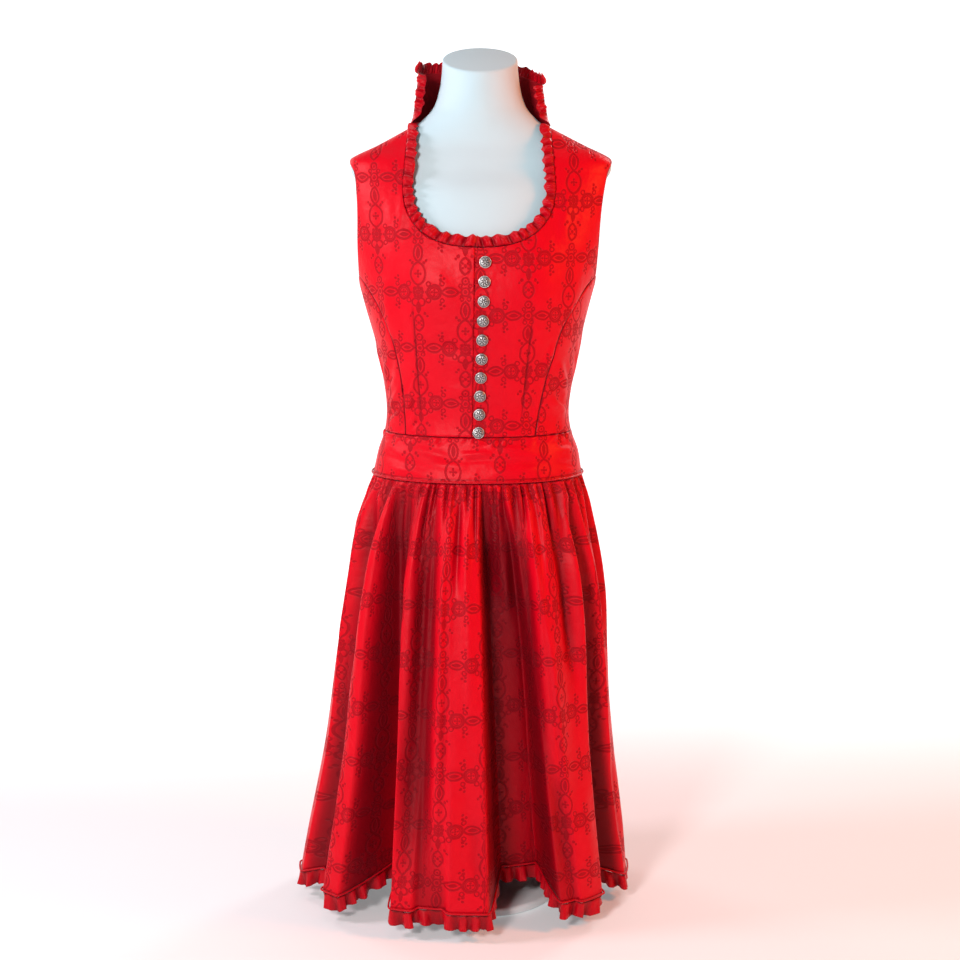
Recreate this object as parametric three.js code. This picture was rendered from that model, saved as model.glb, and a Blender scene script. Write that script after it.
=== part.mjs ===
// A sleeveless dirndl with a stand-up back collar, filled out by a plain limbless dress form on a pole and base.
// Millimetres, +Z up. The front faces -Y and +X points to the wearer's left. The origin is the centre of the
// underside of the base. Every cloth piece is a thin wall whose points lie on one of three surfaces: the body
// surface (bodice and waistband), the collar surface and the skirt surface.
import * as THREE from 'three';

// --- Driving sizes -----------------------------------------------------------------------------------------
const WALL = 1.6; // cloth
const THIN_WALL = 1.2; // ruffles and frills
const SEAM = 0.3; // gap between neighbouring pieces
const BAND_BOTTOM = 615;
const BAND_TOP = 676;
const UNDERARM = 874;
const SHOULDER_TIP = 1046;
const NECK_POINT = 1089;
const NECKLINE = { middle: -1, bottom: 930, halfWidth: 102, height: 85, square: 2.5, neckHalfWidth: 95 };
// Where the right front ends, how much of the left one lies under it, and the share of the left neckline there.
const OVERLAP_EDGE = { topX: -7, bottomX: -11, tuck: 10, frillStart: 0.026 };
const OVERLAP = { lift: 2.6, ramp: 46 }; // how the right front rises over the left one
const ARMHOLE = { frontDepth: 46, backDepth: 50 };
const BUST = { x: 82, z: 874, lift: 9, wide: 42, tall: 58 };
const FRILL = { width: 16, period: 13, wave: 2.4, lift: 3.6, edgeWave: 0.7 };
const HEM = { lobe: 15, recessRise: 0.27, ruffle: 23, period: 20, wave: 4.2, edgeWave: 1.2 };
const GATHERS = { count: 44, depth: 5.2, start: 1.3, rise: 34, shortest: 120, longest: 330 };
const BUTTONS = { count: 10, topZ: 911, bottomZ: 682, topX: 7, bottomX: -2, radius: 8 };
const PIPING_RADIUS = 1.3;
const FORM = { inset: 4.6, shoulderInset: 5.3, shoulderFrontInset: 13, shoulderBackInset: 22, hipInset: 14, columns: 24 };
const FORM_NECK = { frontInset: 6, rise: 21 }; // where the chest runs up into the neck, over the neckline
const FORM_HALF_WIDTH = { armhole: 160, shoulder: 200 }; // limits of its half width
const POLE_RADIUS = 15;
const BASE = { radius: 112, height: 12, edge: 4, boss: 26, bossHeight: 30 };

// Level sections of the body surface. left and right are the half widths on the wearer's right (-X) and
// left (+X), front and back the depths, square how far the outline is from an ellipse (2).
const BODY_SECTIONS = [
  { z: 590, left: 160, right: 152, front: 116, back: 112, square: 2.15 },
  { z: 615, left: 150, right: 143, front: 110, back: 106, square: 2.15 },
  { z: 648, left: 142, right: 137, front: 101, back: 97, square: 2.15 },
  { z: 676, left: 133, right: 127, front: 94, back: 89, square: 2.15 },
  { z: 706, left: 130, right: 124, front: 93, back: 87, square: 2.15 },
  { z: 750, left: 135, right: 130, front: 101, back: 93, square: 2.15 },
  { z: 800, left: 145, right: 139, front: 113, back: 100, square: 2.2 },
  { z: 850, left: 159, right: 151, front: 120, back: 104, square: 2.2 },
  { z: 899, left: 171, right: 164, front: 119, back: 106, square: 2.2 },
  { z: 940, left: 178, right: 173, front: 112, back: 106, square: 2.2 },
  { z: 997, left: 182, right: 182, front: 94, back: 101, square: 2.2 },
  { z: 1028, left: 181, right: 184, front: 78, back: 94, square: 2.2 },
  { z: 1046, left: 178, right: 180, front: 68, back: 88, square: 2.15 },
  { z: 1066, left: 138, right: 141, front: 57, back: 81, square: 2.1 },
  { z: 1089, left: 95, right: 96, front: 47, back: 75, square: 2.05 },
];

// The collar leans in slightly as it rises. Only its sides and back are used.
const COLLAR_SECTIONS = [
  { z: 1089, left: 94, right: 95, front: 47, back: 75, square: 2.05 },
  { z: 1125, left: 88, right: 88, front: 47, back: 71, square: 2.1 },
  { z: 1168, left: 83, right: 82, front: 47, back: 72, square: 2.1 },
];
const COLLAR_HEIGHTS = { left: 73, back: 78, right: 58 };

// The outermost reach of the skirt, before its folds sink in.
const SKIRT_SECTIONS = [
  { z: 15, left: 264, right: 214, front: 196, back: 188, square: 2.1 },
  { z: 85, left: 251, right: 208, front: 186, back: 183, square: 2.1 },
  { z: 229, left: 222, right: 191, front: 172, back: 172, square: 2.1 },
  { z: 372, left: 202, right: 178, front: 159, back: 158, square: 2.1 },
  { z: 477, left: 184, right: 169, front: 146, back: 143, square: 2.1 },
  { z: 546, left: 175, right: 158, front: 133, back: 130, square: 2.1 },
  { z: 590, left: 162, right: 151, front: 121, back: 117, square: 2.12 },
  { z: 615, left: 150, right: 143, front: 110, back: 106, square: 2.15 },
];

// The large folds: where each valley lies round the skirt in degrees from the front at the hem and at its
// top, its half width in degrees at the hem, how deep it is there, and the height where it begins.
const VALLEY_SHAPE = { fallPower: 0.8, wallShare: 0.84, topWidth: 0.55 };
const VALLEYS = [
  { hem: -73, top: -66, halfWidth: 9, depth: 30, start: 585 },
  { hem: -46, top: -49, halfWidth: 15, depth: 100, start: 600 },
  { hem: -20, top: -22, halfWidth: 8, depth: 9, start: 590 },
  { hem: 19, top: 4, halfWidth: 16, depth: 104, start: 600 },
  { hem: 37, top: 22, halfWidth: 7, depth: 8, start: 560 },
  { hem: 66, top: 60, halfWidth: 11, depth: 42, start: 590 },
  { hem: 101, top: 99, halfWidth: 10, depth: 30, start: 560 },
  { hem: 127, top: 124, halfWidth: 14, depth: 66, start: 600 },
  { hem: 156, top: 152, halfWidth: 12, depth: 48, start: 570 },
  { hem: 184, top: 186, halfWidth: 15, depth: 78, start: 600 },
  { hem: 213, top: 210, halfWidth: 11, depth: 42, start: 550 },
  { hem: 240, top: 239, halfWidth: 14, depth: 70, start: 600 },
  { hem: 263, top: 264, halfWidth: 8, depth: 22, start: 540 },
];

// Neck of the form above the shoulders; lean is how much each ring rises towards its back.
const NECK_RINGS = [
  { z: 1101, left: 76, right: 76, front: 42, back: 58, lean: 0 },
  { z: 1116, left: 63, right: 63, front: 42, back: 54, lean: 0.08 },
  { z: 1140, left: 55, right: 55, front: 44, back: 50, lean: 0.2 },
  { z: 1165, left: 51.5, right: 51.5, front: 46, back: 47, lean: 0.34 },
  { z: 1177, left: 51, right: 51, front: 47, back: 46, lean: 0.42 },
  { z: 1180, left: 48.5, right: 48.5, front: 44.5, back: 43.5, lean: 0.42 },
];
// Foot of the form, closed inside the skirt.
const FOOT_RINGS = [
  { z: 535, scale: 0.8 },
  { z: 541, scale: 0.9 },
  { z: 556, scale: 0.97 },
];

const MATERIALS = {
  cloth: new THREE.MeshStandardMaterial({ color: 0xd3202b, roughness: 0.45, metalness: 0, name: 'cloth' }),
  trim: new THREE.MeshStandardMaterial({ color: 0xb3141f, roughness: 0.5, metalness: 0, name: 'trim' }),
  pewter: new THREE.MeshStandardMaterial({ color: 0x8b8b8a, roughness: 0.4, metalness: 1, name: 'pewter' }),
  form: new THREE.MeshStandardMaterial({ color: 0xdfe6ea, roughness: 0.8, metalness: 0, name: 'form' }),
  steel: new THREE.MeshStandardMaterial({ color: 0xc8ccd0, roughness: 0.4, metalness: 1, name: 'steel' }),
};

const FULL_TURN = 2 * Math.PI;
const RIGHT_ANGLE = Math.PI / 2;
const radians = THREE.MathUtils.degToRad;
const dirndl = new THREE.Group();

// --- Small tools -------------------------------------------------------------------------------------------

/** Smooth step from 0 to 1. */
function ease(t) {
  return THREE.MathUtils.smoothstep(t, 0, 1);
}

/** Every named column of a table of sections at height z, in a smooth curve from row to row. */
function sectionAt(table, z) {
  const last = table.length - 1;
  const height = THREE.MathUtils.clamp(z, table[0].z, table[last].z);
  const i = Math.max(1, table.findIndex((row) => row.z >= height));
  const [before, low, high, after] = [table[Math.max(i - 2, 0)], table[i - 1], table[i], table[Math.min(i + 1, last)]];
  const span = high.z - low.z;
  const t = (height - low.z) / span;
  const section = {};
  for (const column of Object.keys(low)) {
    const slopeLow = ((high[column] - before[column]) / (high.z - before.z)) * span;
    const slopeHigh = ((after[column] - low[column]) / (after.z - low.z)) * span;
    const bend = (1 - t) * (slopeLow - (high[column] - low[column])) - t * (slopeHigh - (high[column] - low[column]));
    section[column] = THREE.MathUtils.lerp(low[column], high[column], t) + t * (1 - t) * bend;
  }
  section.z = z;
  return section;
}

/** Point of a section's rounded outline at an angle from the front, positive towards +X. */
function outlinePoint(section, angle) {
  const width = Math.sin(angle) < 0 ? section.left : section.right;
  const depth = Math.cos(angle) > 0 ? section.front : section.back;
  const across = Math.abs(Math.sin(angle) / width) ** section.square;
  const along = Math.abs(Math.cos(angle) / depth) ** section.square;
  const reach = (across + along) ** (-1 / section.square);
  return new THREE.Vector3(reach * Math.sin(angle), -reach * Math.cos(angle), section.z);
}

/** Angle of the point of the body surface's front that lies at x on level z. */
function angleAtX(x, z) {
  const section = sectionAt(BODY_SECTIONS, z);
  const width = x < 0 ? section.left : section.right;
  const share = Math.min(1, Math.abs(x) / width);
  return Math.atan2(x, section.front * (1 - share ** section.square) ** (1 / section.square));
}

/** Angle of the point of the body surface's side (-1 or 1) that lies at y on level z. */
function angleAtY(y, z, side) {
  const section = sectionAt(BODY_SECTIONS, z);
  const depth = y < 0 ? section.front : section.back;
  const width = side < 0 ? section.left : section.right;
  const x = width * (1 - (Math.abs(y) / depth) ** section.square) ** (1 / section.square);
  return Math.atan2(side * x, -y);
}

/** Outward unit normal of a surface, a function of an angle and a second number that grows upward. */
function normalOf(surface, angle, up) {
  const step = 0.004;
  const along = surface(angle + step, up).sub(surface(angle - step, up));
  const rise = surface(angle, up + step).sub(surface(angle, up - step));
  return along.cross(rise).normalize();
}

/** Point of a surface moved out along its normal. */
function movedOut(surface, angle, up, distance) {
  return surface(angle, up).addScaledVector(normalOf(surface, angle, up), distance);
}

/** Indexed geometry of a closed body, turned right side out. */
function closed(points, faces) {
  let volume = 0;
  for (let i = 0; i < faces.length; i += 3) {
    volume += points[faces[i]].dot(points[faces[i + 1]].clone().cross(points[faces[i + 2]]));
  }
  const geometry = new THREE.BufferGeometry().setFromPoints(points);
  geometry.setIndex(volume < 0 ? faces.reverse() : faces);
  geometry.computeVertexNormals();
  return geometry;
}

/** Closed wall between an outer and an inner grid of points, each a list of rows. */
function wallBetween(outer, inner) {
  const [rows, columns] = [outer.length, outer[0].length];
  const faces = [];
  const at = (side, row, column) => (side * rows + row) * columns + column;
  const quad = (a, b, c, d) => faces.push(a, b, c, a, c, d);
  for (let i = 0; i < rows - 1; i++) {
    for (let j = 0; j < columns - 1; j++) {
      quad(at(0, i, j), at(0, i, j + 1), at(0, i + 1, j + 1), at(0, i + 1, j));
      quad(at(1, i, j), at(1, i + 1, j), at(1, i + 1, j + 1), at(1, i, j + 1));
    }
    quad(at(0, i, 0), at(0, i + 1, 0), at(1, i + 1, 0), at(1, i, 0));
    quad(at(0, i, columns - 1), at(1, i, columns - 1), at(1, i + 1, columns - 1), at(0, i + 1, columns - 1));
  }
  for (let j = 0; j < columns - 1; j++) {
    quad(at(0, 0, j), at(1, 0, j), at(1, 0, j + 1), at(0, 0, j + 1));
    quad(at(0, rows - 1, j), at(0, rows - 1, j + 1), at(1, rows - 1, j + 1), at(1, rows - 1, j));
  }
  return closed([...outer.flat(), ...inner.flat()], faces);
}

/** Closed body through rings of equally many points: capped at both ends, or joined end to end. */
function bodyThrough(rings, joined = false) {
  const size = rings[0].length;
  const faces = [];
  const links = joined ? rings.length : rings.length - 1;
  for (let i = 0; i < links; i++) {
    const [low, high] = [i * size, ((i + 1) % rings.length) * size];
    for (let j = 0; j < size; j++) {
      const next = (j + 1) % size;
      faces.push(low + j, low + next, high + next, low + j, high + next, high + j);
    }
  }
  const top = (rings.length - 1) * size;
  for (let j = 1; j < size - 1 && !joined; j++) {
    faces.push(0, j + 1, j, top, top + j, top + j + 1);
  }
  return closed(rings.flat(), faces);
}

/** Round cord along points, each with the outward direction that its section starts from. */
function cordAlong(points, outs, radius, sides, joined = false) {
  const last = points.length - 1;
  const rings = points.map((point, i) => {
    const before = points[joined ? (i + last) % points.length : Math.max(i - 1, 0)];
    const after = points[joined ? (i + 1) % points.length : Math.min(i + 1, last)];
    const along = after.clone().sub(before).normalize();
    const out = outs[i].clone().addScaledVector(along, -outs[i].dot(along)).normalize();
    const side = along.clone().cross(out);
    return Array.from({ length: sides }, (_, k) => {
      const turn = (FULL_TURN * k) / sides;
      return point.clone().addScaledVector(out, radius * Math.cos(turn)).addScaledVector(side, radius * Math.sin(turn));
    });
  });
  return bodyThrough(rings, joined);
}

/** Names a body and adds it to the dirndl. */
function add(name, geometry, material) {
  const mesh = new THREE.Mesh(geometry, material);
  mesh.name = name;
  dirndl.add(mesh);
}

/** Wall of cloth on a surface, through a grid of [angle, up] pairs. */
function clothOn(surface, grid, lift = () => 0) {
  const layer = (depth) =>
    grid.map((row) => row.map(([angle, up]) => movedOut(surface, angle, up, lift(angle, up) - depth)));
  return wallBetween(layer(0), layer(WALL));
}

/** Grid of [angle, up] pairs that fills four edges, each a function of 0 to 1; two run up and two across. */
function patch({ left, right, bottom, top, across, up, rise = (t) => t }) {
  const mix = (s, t, k) => {
    const ruled = (1 - t) * bottom(s)[k] + t * top(s)[k] + (1 - s) * left(t)[k] + s * right(t)[k];
    const corners = (1 - t) * ((1 - s) * bottom(0)[k] + s * bottom(1)[k]) + t * ((1 - s) * top(0)[k] + s * top(1)[k]);
    return ruled - corners;
  };
  return Array.from({ length: up + 1 }, (_, i) =>
    Array.from({ length: across + 1 }, (_, j) => [mix(j / across, rise(i / up), 0), mix(j / across, rise(i / up), 1)]),
  );
}

/** Straight edge between two [angle, up] pairs. */
function straight(from, to) {
  return (t) => from.map((value, k) => THREE.MathUtils.lerp(value, to[k], t));
}

/** One edge made of two, which meet at the share given. */
function chained(share, first, second) {
  return (t) => (t <= share ? first(t / share) : second((t - share) / (1 - share)));
}

// --- Bodice ------------------------------------------------------------------------------------------------

/** Body surface: the sections, with the fullness that the bust darts and cups give. */
function body(angle, z) {
  const point = outlinePoint(sectionAt(BODY_SECTIONS, z), angle);
  const across = (Math.abs(point.x) - BUST.x) / BUST.wide;
  const along = (z - BUST.z) / BUST.tall;
  point.y -= BUST.lift * Math.max(0, Math.cos(angle)) * Math.exp(-across * across - along * along);
  return point;
}

/** x of the overlap edge at height z. */
function overlapX(z) {
  const t = (z - BAND_TOP) / (NECKLINE.bottom - BAND_TOP);
  return THREE.MathUtils.lerp(OVERLAP_EDGE.bottomX, OVERLAP_EDGE.topX, t);
}

/** [angle, z] of the neckline's edge: from centre front (0) round the curve and up to the neck point (1). */
function necklineEdge(side, startX) {
  const curveShare = 0.5;
  const startReach = (side * (startX - NECKLINE.middle)) / NECKLINE.halfWidth; // below 0 past the middle
  const startTurn = Math.sign(startReach) * Math.asin(Math.abs(startReach) ** (NECKLINE.square / 2));
  return (t) => {
    const straightPart = 1 - (1 - Math.max(0, (t - curveShare) / (1 - curveShare))) ** 2;
    const turn = THREE.MathUtils.lerp(startTurn, RIGHT_ANGLE, Math.min(1, t / curveShare));
    const reach = THREE.MathUtils.lerp(NECKLINE.halfWidth, NECKLINE.neckHalfWidth + 1, straightPart);
    const curveZ = NECKLINE.bottom + NECKLINE.height * (1 - Math.cos(turn) ** (2 / NECKLINE.square));
    const z = THREE.MathUtils.lerp(curveZ, NECK_POINT, straightPart);
    const x = NECKLINE.middle + side * reach * Math.sign(turn) * Math.abs(Math.sin(turn)) ** (2 / NECKLINE.square);
    return straightPart === 1 ? [side * seamAngle(NECK_POINT, -1), z] : [angleAtX(x, z), z];
  };
}

/** Angle of the side seam, half a gap to the front (-1) or back (1) of it. */
function seamAngle(z, towards) {
  return RIGHT_ANGLE + (towards * SEAM) / 2 / sectionAt(BODY_SECTIONS, z).left;
}

/** [angle, z] of an armhole's edge from the underarm (0) to the shoulder tip (1), on the front or the back. */
function armholeEdge(side, towards) {
  const depth = towards < 0 ? -ARMHOLE.frontDepth : ARMHOLE.backDepth;
  return (t) => {
    const turn = Math.PI * t;
    const z = THREE.MathUtils.lerp(UNDERARM, SHOULDER_TIP, (1 - Math.cos(turn)) / 2);
    const y = depth * Math.sin(turn) ** 0.9;
    const seam = side * seamAngle(z, towards);
    const angle = angleAtY(Math.abs(y) < SEAM ? Math.sign(depth) * (SEAM / 2) : y, z, side);
    const edge = t === 0 || t === 1 ? seam : angle;
    return [towards > 0 && side < 0 ? edge + (edge < 0 ? FULL_TURN : 0) : edge, z];
  };
}

const PRINCESS_SHARE = 0.2; // of the front armhole's length, from the underarm to the princess seam
const PRINCESS = {
  [-1]: { bottomX: -102, middleX: -107 },
  [1]: { bottomX: 75, middleX: 92 },
};

/** [angle, z] of a princess seam from the waistband (0) to the armhole (1), with half the seam's gap. */
function princessEdge(side, gapSide) {
  const [topAngle, topZ] = armholeEdge(side, -1)(PRINCESS_SHARE);
  const topX = body(topAngle, topZ).x;
  const { bottomX, middleX } = PRINCESS[side];
  return (t) => {
    const z = THREE.MathUtils.lerp(BAND_TOP + SEAM, topZ, t);
    const x = THREE.MathUtils.lerp(THREE.MathUtils.lerp(bottomX, middleX, Math.min(1, 2 * t)), topX, t ** 3.2);
    const gap = (side * gapSide * SEAM) / 2;
    return [t === 1 ? topAngle + gap / 110 : angleAtX(x + gap, z), z];
  };
}

const LOWER_ROWS = 10; // rows of a front panel below the neckline and the armhole
const UPPER_ROWS = 10;

/** Front panel of one side, between centre front, neckline, shoulder, armhole and princess seam. */
function frontPanel(side, centreX, lift) {
  const start = BAND_TOP + SEAM;
  const lowerShare = LOWER_ROWS / (LOWER_ROWS + UPPER_ROWS);
  const inner = chained(
    lowerShare,
    (t) => {
      const z = THREE.MathUtils.lerp(start, necklineEdge(side, centreX(NECKLINE.bottom))(0)[1], t);
      return [angleAtX(centreX(z), z), z];
    },
    necklineEdge(side, centreX(NECKLINE.bottom)),
  );
  const armhole = armholeEdge(side, -1);
  const outer = chained(lowerShare, princessEdge(side, -1), (t) =>
    t === 0 ? princessEdge(side, -1)(1) : armhole(THREE.MathUtils.lerp(PRINCESS_SHARE, 1, t)),
  );
  const [left, right] = side < 0 ? [outer, inner] : [inner, outer];
  const edges = { left, right, bottom: straight(left(0), right(0)), top: straight(left(1), right(1)) };
  return clothOn(body, patch({ ...edges, across: 8, up: LOWER_ROWS + UPPER_ROWS }), lift);
}

/** Side front panel, between princess seam, side seam and the foot of the armhole. */
function sideFrontPanel(side) {
  const inner = princessEdge(side, 1);
  const outer = (t) => {
    const z = THREE.MathUtils.lerp(BAND_TOP + SEAM, UNDERARM, t);
    return [side * seamAngle(z, -1), z];
  };
  const armhole = armholeEdge(side, -1);
  const fromSide = (t) => (t === 1 ? inner(1) : armhole(PRINCESS_SHARE * t));
  const [left, right] = side < 0 ? [outer, inner] : [inner, outer];
  const top = side < 0 ? fromSide : (t) => fromSide(1 - t);
  return clothOn(body, patch({ left, right, bottom: straight(left(0), right(0)), top, across: 5, up: LOWER_ROWS }));
}

/** Back of the bodice, cut in one piece. */
function backPanel() {
  const [lowerRows, upperRows] = [6, 8];
  const lowerShare = lowerRows / (lowerRows + upperRows);
  const upEdge = (side) =>
    chained(
      lowerShare,
      (t) => {
        const z = THREE.MathUtils.lerp(BAND_TOP + SEAM, UNDERARM, t);
        const angle = seamAngle(z, 1);
        return [side > 0 ? angle : FULL_TURN - angle, z];
      },
      armholeEdge(side, 1),
    );
  const [left, right] = [upEdge(1), upEdge(-1)];
  const shoulder = 0.2;
  const top = (s) => {
    const slope = Math.min(1, Math.min(s, 1 - s) / shoulder);
    const round = THREE.MathUtils.clamp((s - shoulder) / (1 - 2 * shoulder), 0, 1);
    const z = THREE.MathUtils.lerp(SHOULDER_TIP, NECK_POINT, slope);
    return [THREE.MathUtils.lerp(seamAngle(z, 1), FULL_TURN - seamAngle(z, 1), round), z];
  };
  const upperShare = 1 - lowerShare;
  const rise = (t) => (t < lowerShare ? t : 1 - upperShare * ((1 - t) / upperShare) ** 1.6);
  const bottom = straight(left(0), right(0));
  return clothOn(body, patch({ left, right, bottom, top, across: 20, up: lowerRows + upperRows, rise }));
}

/** How far the right front stands off the body surface, where it runs over the left front. */
function overlapLift(angle, z) {
  const distance = overlapX(z) - body(angle, z).x;
  return OVERLAP.lift * ease(1 - distance / OVERLAP.ramp);
}

function addBodice() {
  add('front_right', frontPanel(-1, overlapX, overlapLift), MATERIALS.cloth);
  add('front_left', frontPanel(1, (z) => overlapX(z) - OVERLAP_EDGE.tuck, () => 0), MATERIALS.cloth);
  add('side_front_right', sideFrontPanel(-1), MATERIALS.cloth);
  add('side_front_left', sideFrontPanel(1), MATERIALS.cloth);
  add('back', backPanel(), MATERIALS.cloth);
}

// --- Collar and frills -------------------------------------------------------------------------------------

/** Height of the collar at an angle from 90 degrees (left end) over 180 (back) to 270 (right end). */
function collarHeight(angle) {
  const share = (angle - RIGHT_ANGLE) / Math.PI;
  const { left, back, right } = COLLAR_HEIGHTS;
  return share < 0.5
    ? THREE.MathUtils.lerp(right, back, ease(2.6 * share))
    : THREE.MathUtils.lerp(back, left, ease(2 * share - 1));
}

/** Collar surface, from its seam (0) to its top edge (1). */
function collar(angle, up) {
  const z = NECK_POINT + SEAM + up * collarHeight(angle);
  return outlinePoint(sectionAt(COLLAR_SECTIONS, z), angle);
}

/** Evenly spaced frames along a path of { point, inward, out }, given as a function of 0 to 1. */
function evenFrames(path, period, columnsPerWave, samples = 600) {
  const points = Array.from({ length: samples + 1 }, (_, i) => path(i / samples).point);
  const lengths = [0];
  for (let i = 1; i <= samples; i++) {
    lengths.push(lengths[i - 1] + points[i].distanceTo(points[i - 1]));
  }
  const total = lengths[samples];
  const columns = Math.round(total / period) * columnsPerWave;
  return Array.from({ length: columns + 1 }, (_, j) => {
    const wanted = (total * j) / columns;
    const i = Math.max(1, lengths.findIndex((length) => length >= wanted - 1e-9));
    const part = (wanted - lengths[i - 1]) / Math.max(1e-9, lengths[i] - lengths[i - 1]);
    return path((i - 1 + part) / samples);
  });
}

/** Wavy strip along frames: rows of { across, wave, lift } from its sewn edge to its free one. */
function wavyStrip(frames, rows) {
  const layer = (side) =>
    rows.map(({ across, wave, lift }) =>
      frames.map(({ point, inward, out }, j) => {
        const height = lift + (j % 2 ? wave : -wave) + (side * THIN_WALL) / 2;
        return point.clone().addScaledVector(inward, across).addScaledVector(out, height);
      }),
    );
  return wallBetween(layer(1), layer(-1));
}

/** Frame on a facetted edge of a surface; inward lies in the surface, square to the edge, on the side given. */
function edgeFrame(surface, edge, facets, t, turn) {
  const step = 0.002;
  const [angle, up] = edge(t);
  const facet = Math.min(facets - 1, Math.floor(t * facets));
  const corners = [surface(...edge(facet / facets)), surface(...edge((facet + 1) / facets))];
  const point = corners[0].lerp(corners[1], t * facets - facet);
  const before = surface(...edge(Math.max(0, t - step)));
  const after = surface(...edge(Math.min(1, t + step)));
  const out = normalOf(surface, angle, up);
  const inward = out.clone().cross(after.sub(before)).multiplyScalar(turn).normalize();
  return { point, inward, out };
}

const FRILL_ROWS = [
  { across: SEAM + 0.4, wave: FRILL.edgeWave, lift: 0.2 },
  { across: FRILL.width * 0.5, wave: FRILL.wave * 0.8, lift: FRILL.lift * 0.9 },
  { across: FRILL.width, wave: FRILL.wave, lift: FRILL.lift },
];

/** Path of one side's frill: round the neckline, then up the collar's front end. */
function sideFrillPath(side) {
  const neckline = necklineEdge(side, overlapX(NECKLINE.bottom) - (side < 0 ? 0 : OVERLAP_EDGE.tuck));
  const panel = side < 0 ? (angle, z) => movedOut(body, angle, z, overlapLift(angle, z)) : body;
  const start = side < 0 ? 0 : OVERLAP_EDGE.frillStart; // the left frill starts where the right front ends
  const collarEnd = side < 0 ? FULL_TURN - RIGHT_ANGLE : RIGHT_ANGLE;
  const collarShare = collarHeight(collarEnd) / (collarHeight(collarEnd) + 225);
  const joint = 0.05;
  const onNeckline = (t) => edgeFrame(panel, neckline, UPPER_ROWS, THREE.MathUtils.lerp(start, 0.985, t), side);
  const onCollar = (t) => edgeFrame(collar, (s) => [collarEnd, 0.03 + 0.94 * s], 1, t, side);
  return (t) => {
    const along = t / (1 - collarShare);
    if (along <= 1 - joint) {
      return onNeckline(along);
    }
    const up = (t - (1 - collarShare) * (1 + joint)) / (1 - (1 - collarShare) * (1 + joint));
    if (up >= 0) {
      return onCollar(up);
    }
    const [from, to] = [onNeckline(1 - joint), onCollar(0)];
    const share = ease((along - (1 - joint)) / (2 * joint));
    return {
      point: from.point.lerp(to.point, share),
      inward: from.inward.lerp(to.inward, share).normalize(),
      out: from.out.lerp(to.out, share).normalize(),
    };
  };
}

const COLLAR_COLUMNS = 20;

function addCollar() {
  const ends = { left: RIGHT_ANGLE + 0.002, right: FULL_TURN - RIGHT_ANGLE - 0.002 };
  const grid = patch({
    left: straight([ends.left, 0], [ends.left, 1]),
    right: straight([ends.right, 0], [ends.right, 1]),
    bottom: straight([ends.left, 0], [ends.right, 0]),
    top: straight([ends.left, 1], [ends.right, 1]),
    across: COLLAR_COLUMNS,
    up: 3,
  });
  add('collar', clothOn(collar, grid), MATERIALS.cloth);
  add('neck_frill_right', wavyStrip(evenFrames(sideFrillPath(-1), FRILL.period, 2), FRILL_ROWS), MATERIALS.trim);
  add('neck_frill_left', wavyStrip(evenFrames(sideFrillPath(1), FRILL.period, 2), FRILL_ROWS), MATERIALS.trim);
  const topEdge = (t) => [THREE.MathUtils.lerp(ends.left, ends.right, t), 1];
  const topFrames = evenFrames((t) => edgeFrame(collar, topEdge, COLLAR_COLUMNS, t, 1), FRILL.period, 2);
  const level = FRILL_ROWS.map((row) => ({ ...row, lift: -WALL / 2 }));
  add('collar_frill', wavyStrip(topFrames, level), MATERIALS.trim);
}

// --- Waistband ---------------------------------------------------------------------------------------------

const BAND_COLUMNS = 24; // on the front, and as many on the back

/** Angle of a column on the front (0) or the back (1) of the waistband. */
function bandAngle(half, share) {
  const gap = SEAM / 2 / 130;
  return half * Math.PI + THREE.MathUtils.lerp(-RIGHT_ANGLE + gap, RIGHT_ANGLE - gap, share);
}

function addWaistband() {
  for (const [half, name] of ['waistband_front', 'waistband_back'].entries()) {
    const side = (share) => straight([bandAngle(half, share), BAND_BOTTOM], [bandAngle(half, share), BAND_TOP]);
    const grid = patch({
      left: side(0),
      right: side(1),
      bottom: straight([bandAngle(half, 0), BAND_BOTTOM], [bandAngle(half, 1), BAND_BOTTOM]),
      top: straight([bandAngle(half, 0), BAND_TOP], [bandAngle(half, 1), BAND_TOP]),
      across: BAND_COLUMNS,
      up: 3,
    });
    add(name, clothOn(body, grid), MATERIALS.cloth);
  }
  const angles = Array.from({ length: 2 * BAND_COLUMNS }, (_, i) => {
    const half = Math.floor(i / BAND_COLUMNS);
    return bandAngle(half, (i % BAND_COLUMNS) / BAND_COLUMNS);
  });
  const level = BAND_BOTTOM + PIPING_RADIUS;
  const points = angles.map((angle) => movedOut(body, angle, level, SEAM + PIPING_RADIUS));
  const outs = angles.map((angle) => normalOf(body, angle, level));
  add('waistband_piping', cordAlong(points, outs, PIPING_RADIUS, 4, true), MATERIALS.trim);
}

// --- Skirt -------------------------------------------------------------------------------------------------

const SKIRT_TOP = BAND_BOTTOM - 2 * SEAM;
const SKIRT_ROWS = [0, 0.17, 0.4, 0.64, 0.84, 0.94, 1]; // shares of the way from the hem to the waist

/** Polar angle of a place round the cloth; the cloth is drawn together unevenly. */
function clothAngle(place) {
  return place + 0.035 * Math.sin(2 * place) * Math.cos(5 * place) + 0.012 * Math.sin(6 * place);
}

/** How far the large folds sink in at an angle and a height. */
function valleyDepth(angle, z) {
  let depth = 0;
  for (const valley of VALLEYS) {
    const fall = THREE.MathUtils.clamp((valley.start - z) / (valley.start - HEM.lobe), 0, 1);
    const centre = radians(THREE.MathUtils.lerp(valley.top, valley.hem, fall));
    const halfWidth = radians(valley.halfWidth) * THREE.MathUtils.lerp(VALLEY_SHAPE.topWidth, 1, Math.sqrt(fall));
    const offset = Math.abs(Math.atan2(Math.sin(angle - centre), Math.cos(angle - centre))) / halfWidth;
    depth += valley.depth * fall ** VALLEY_SHAPE.fallPower * ease((1 - offset) / VALLEY_SHAPE.wallShare);
  }
  return depth;
}

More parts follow.
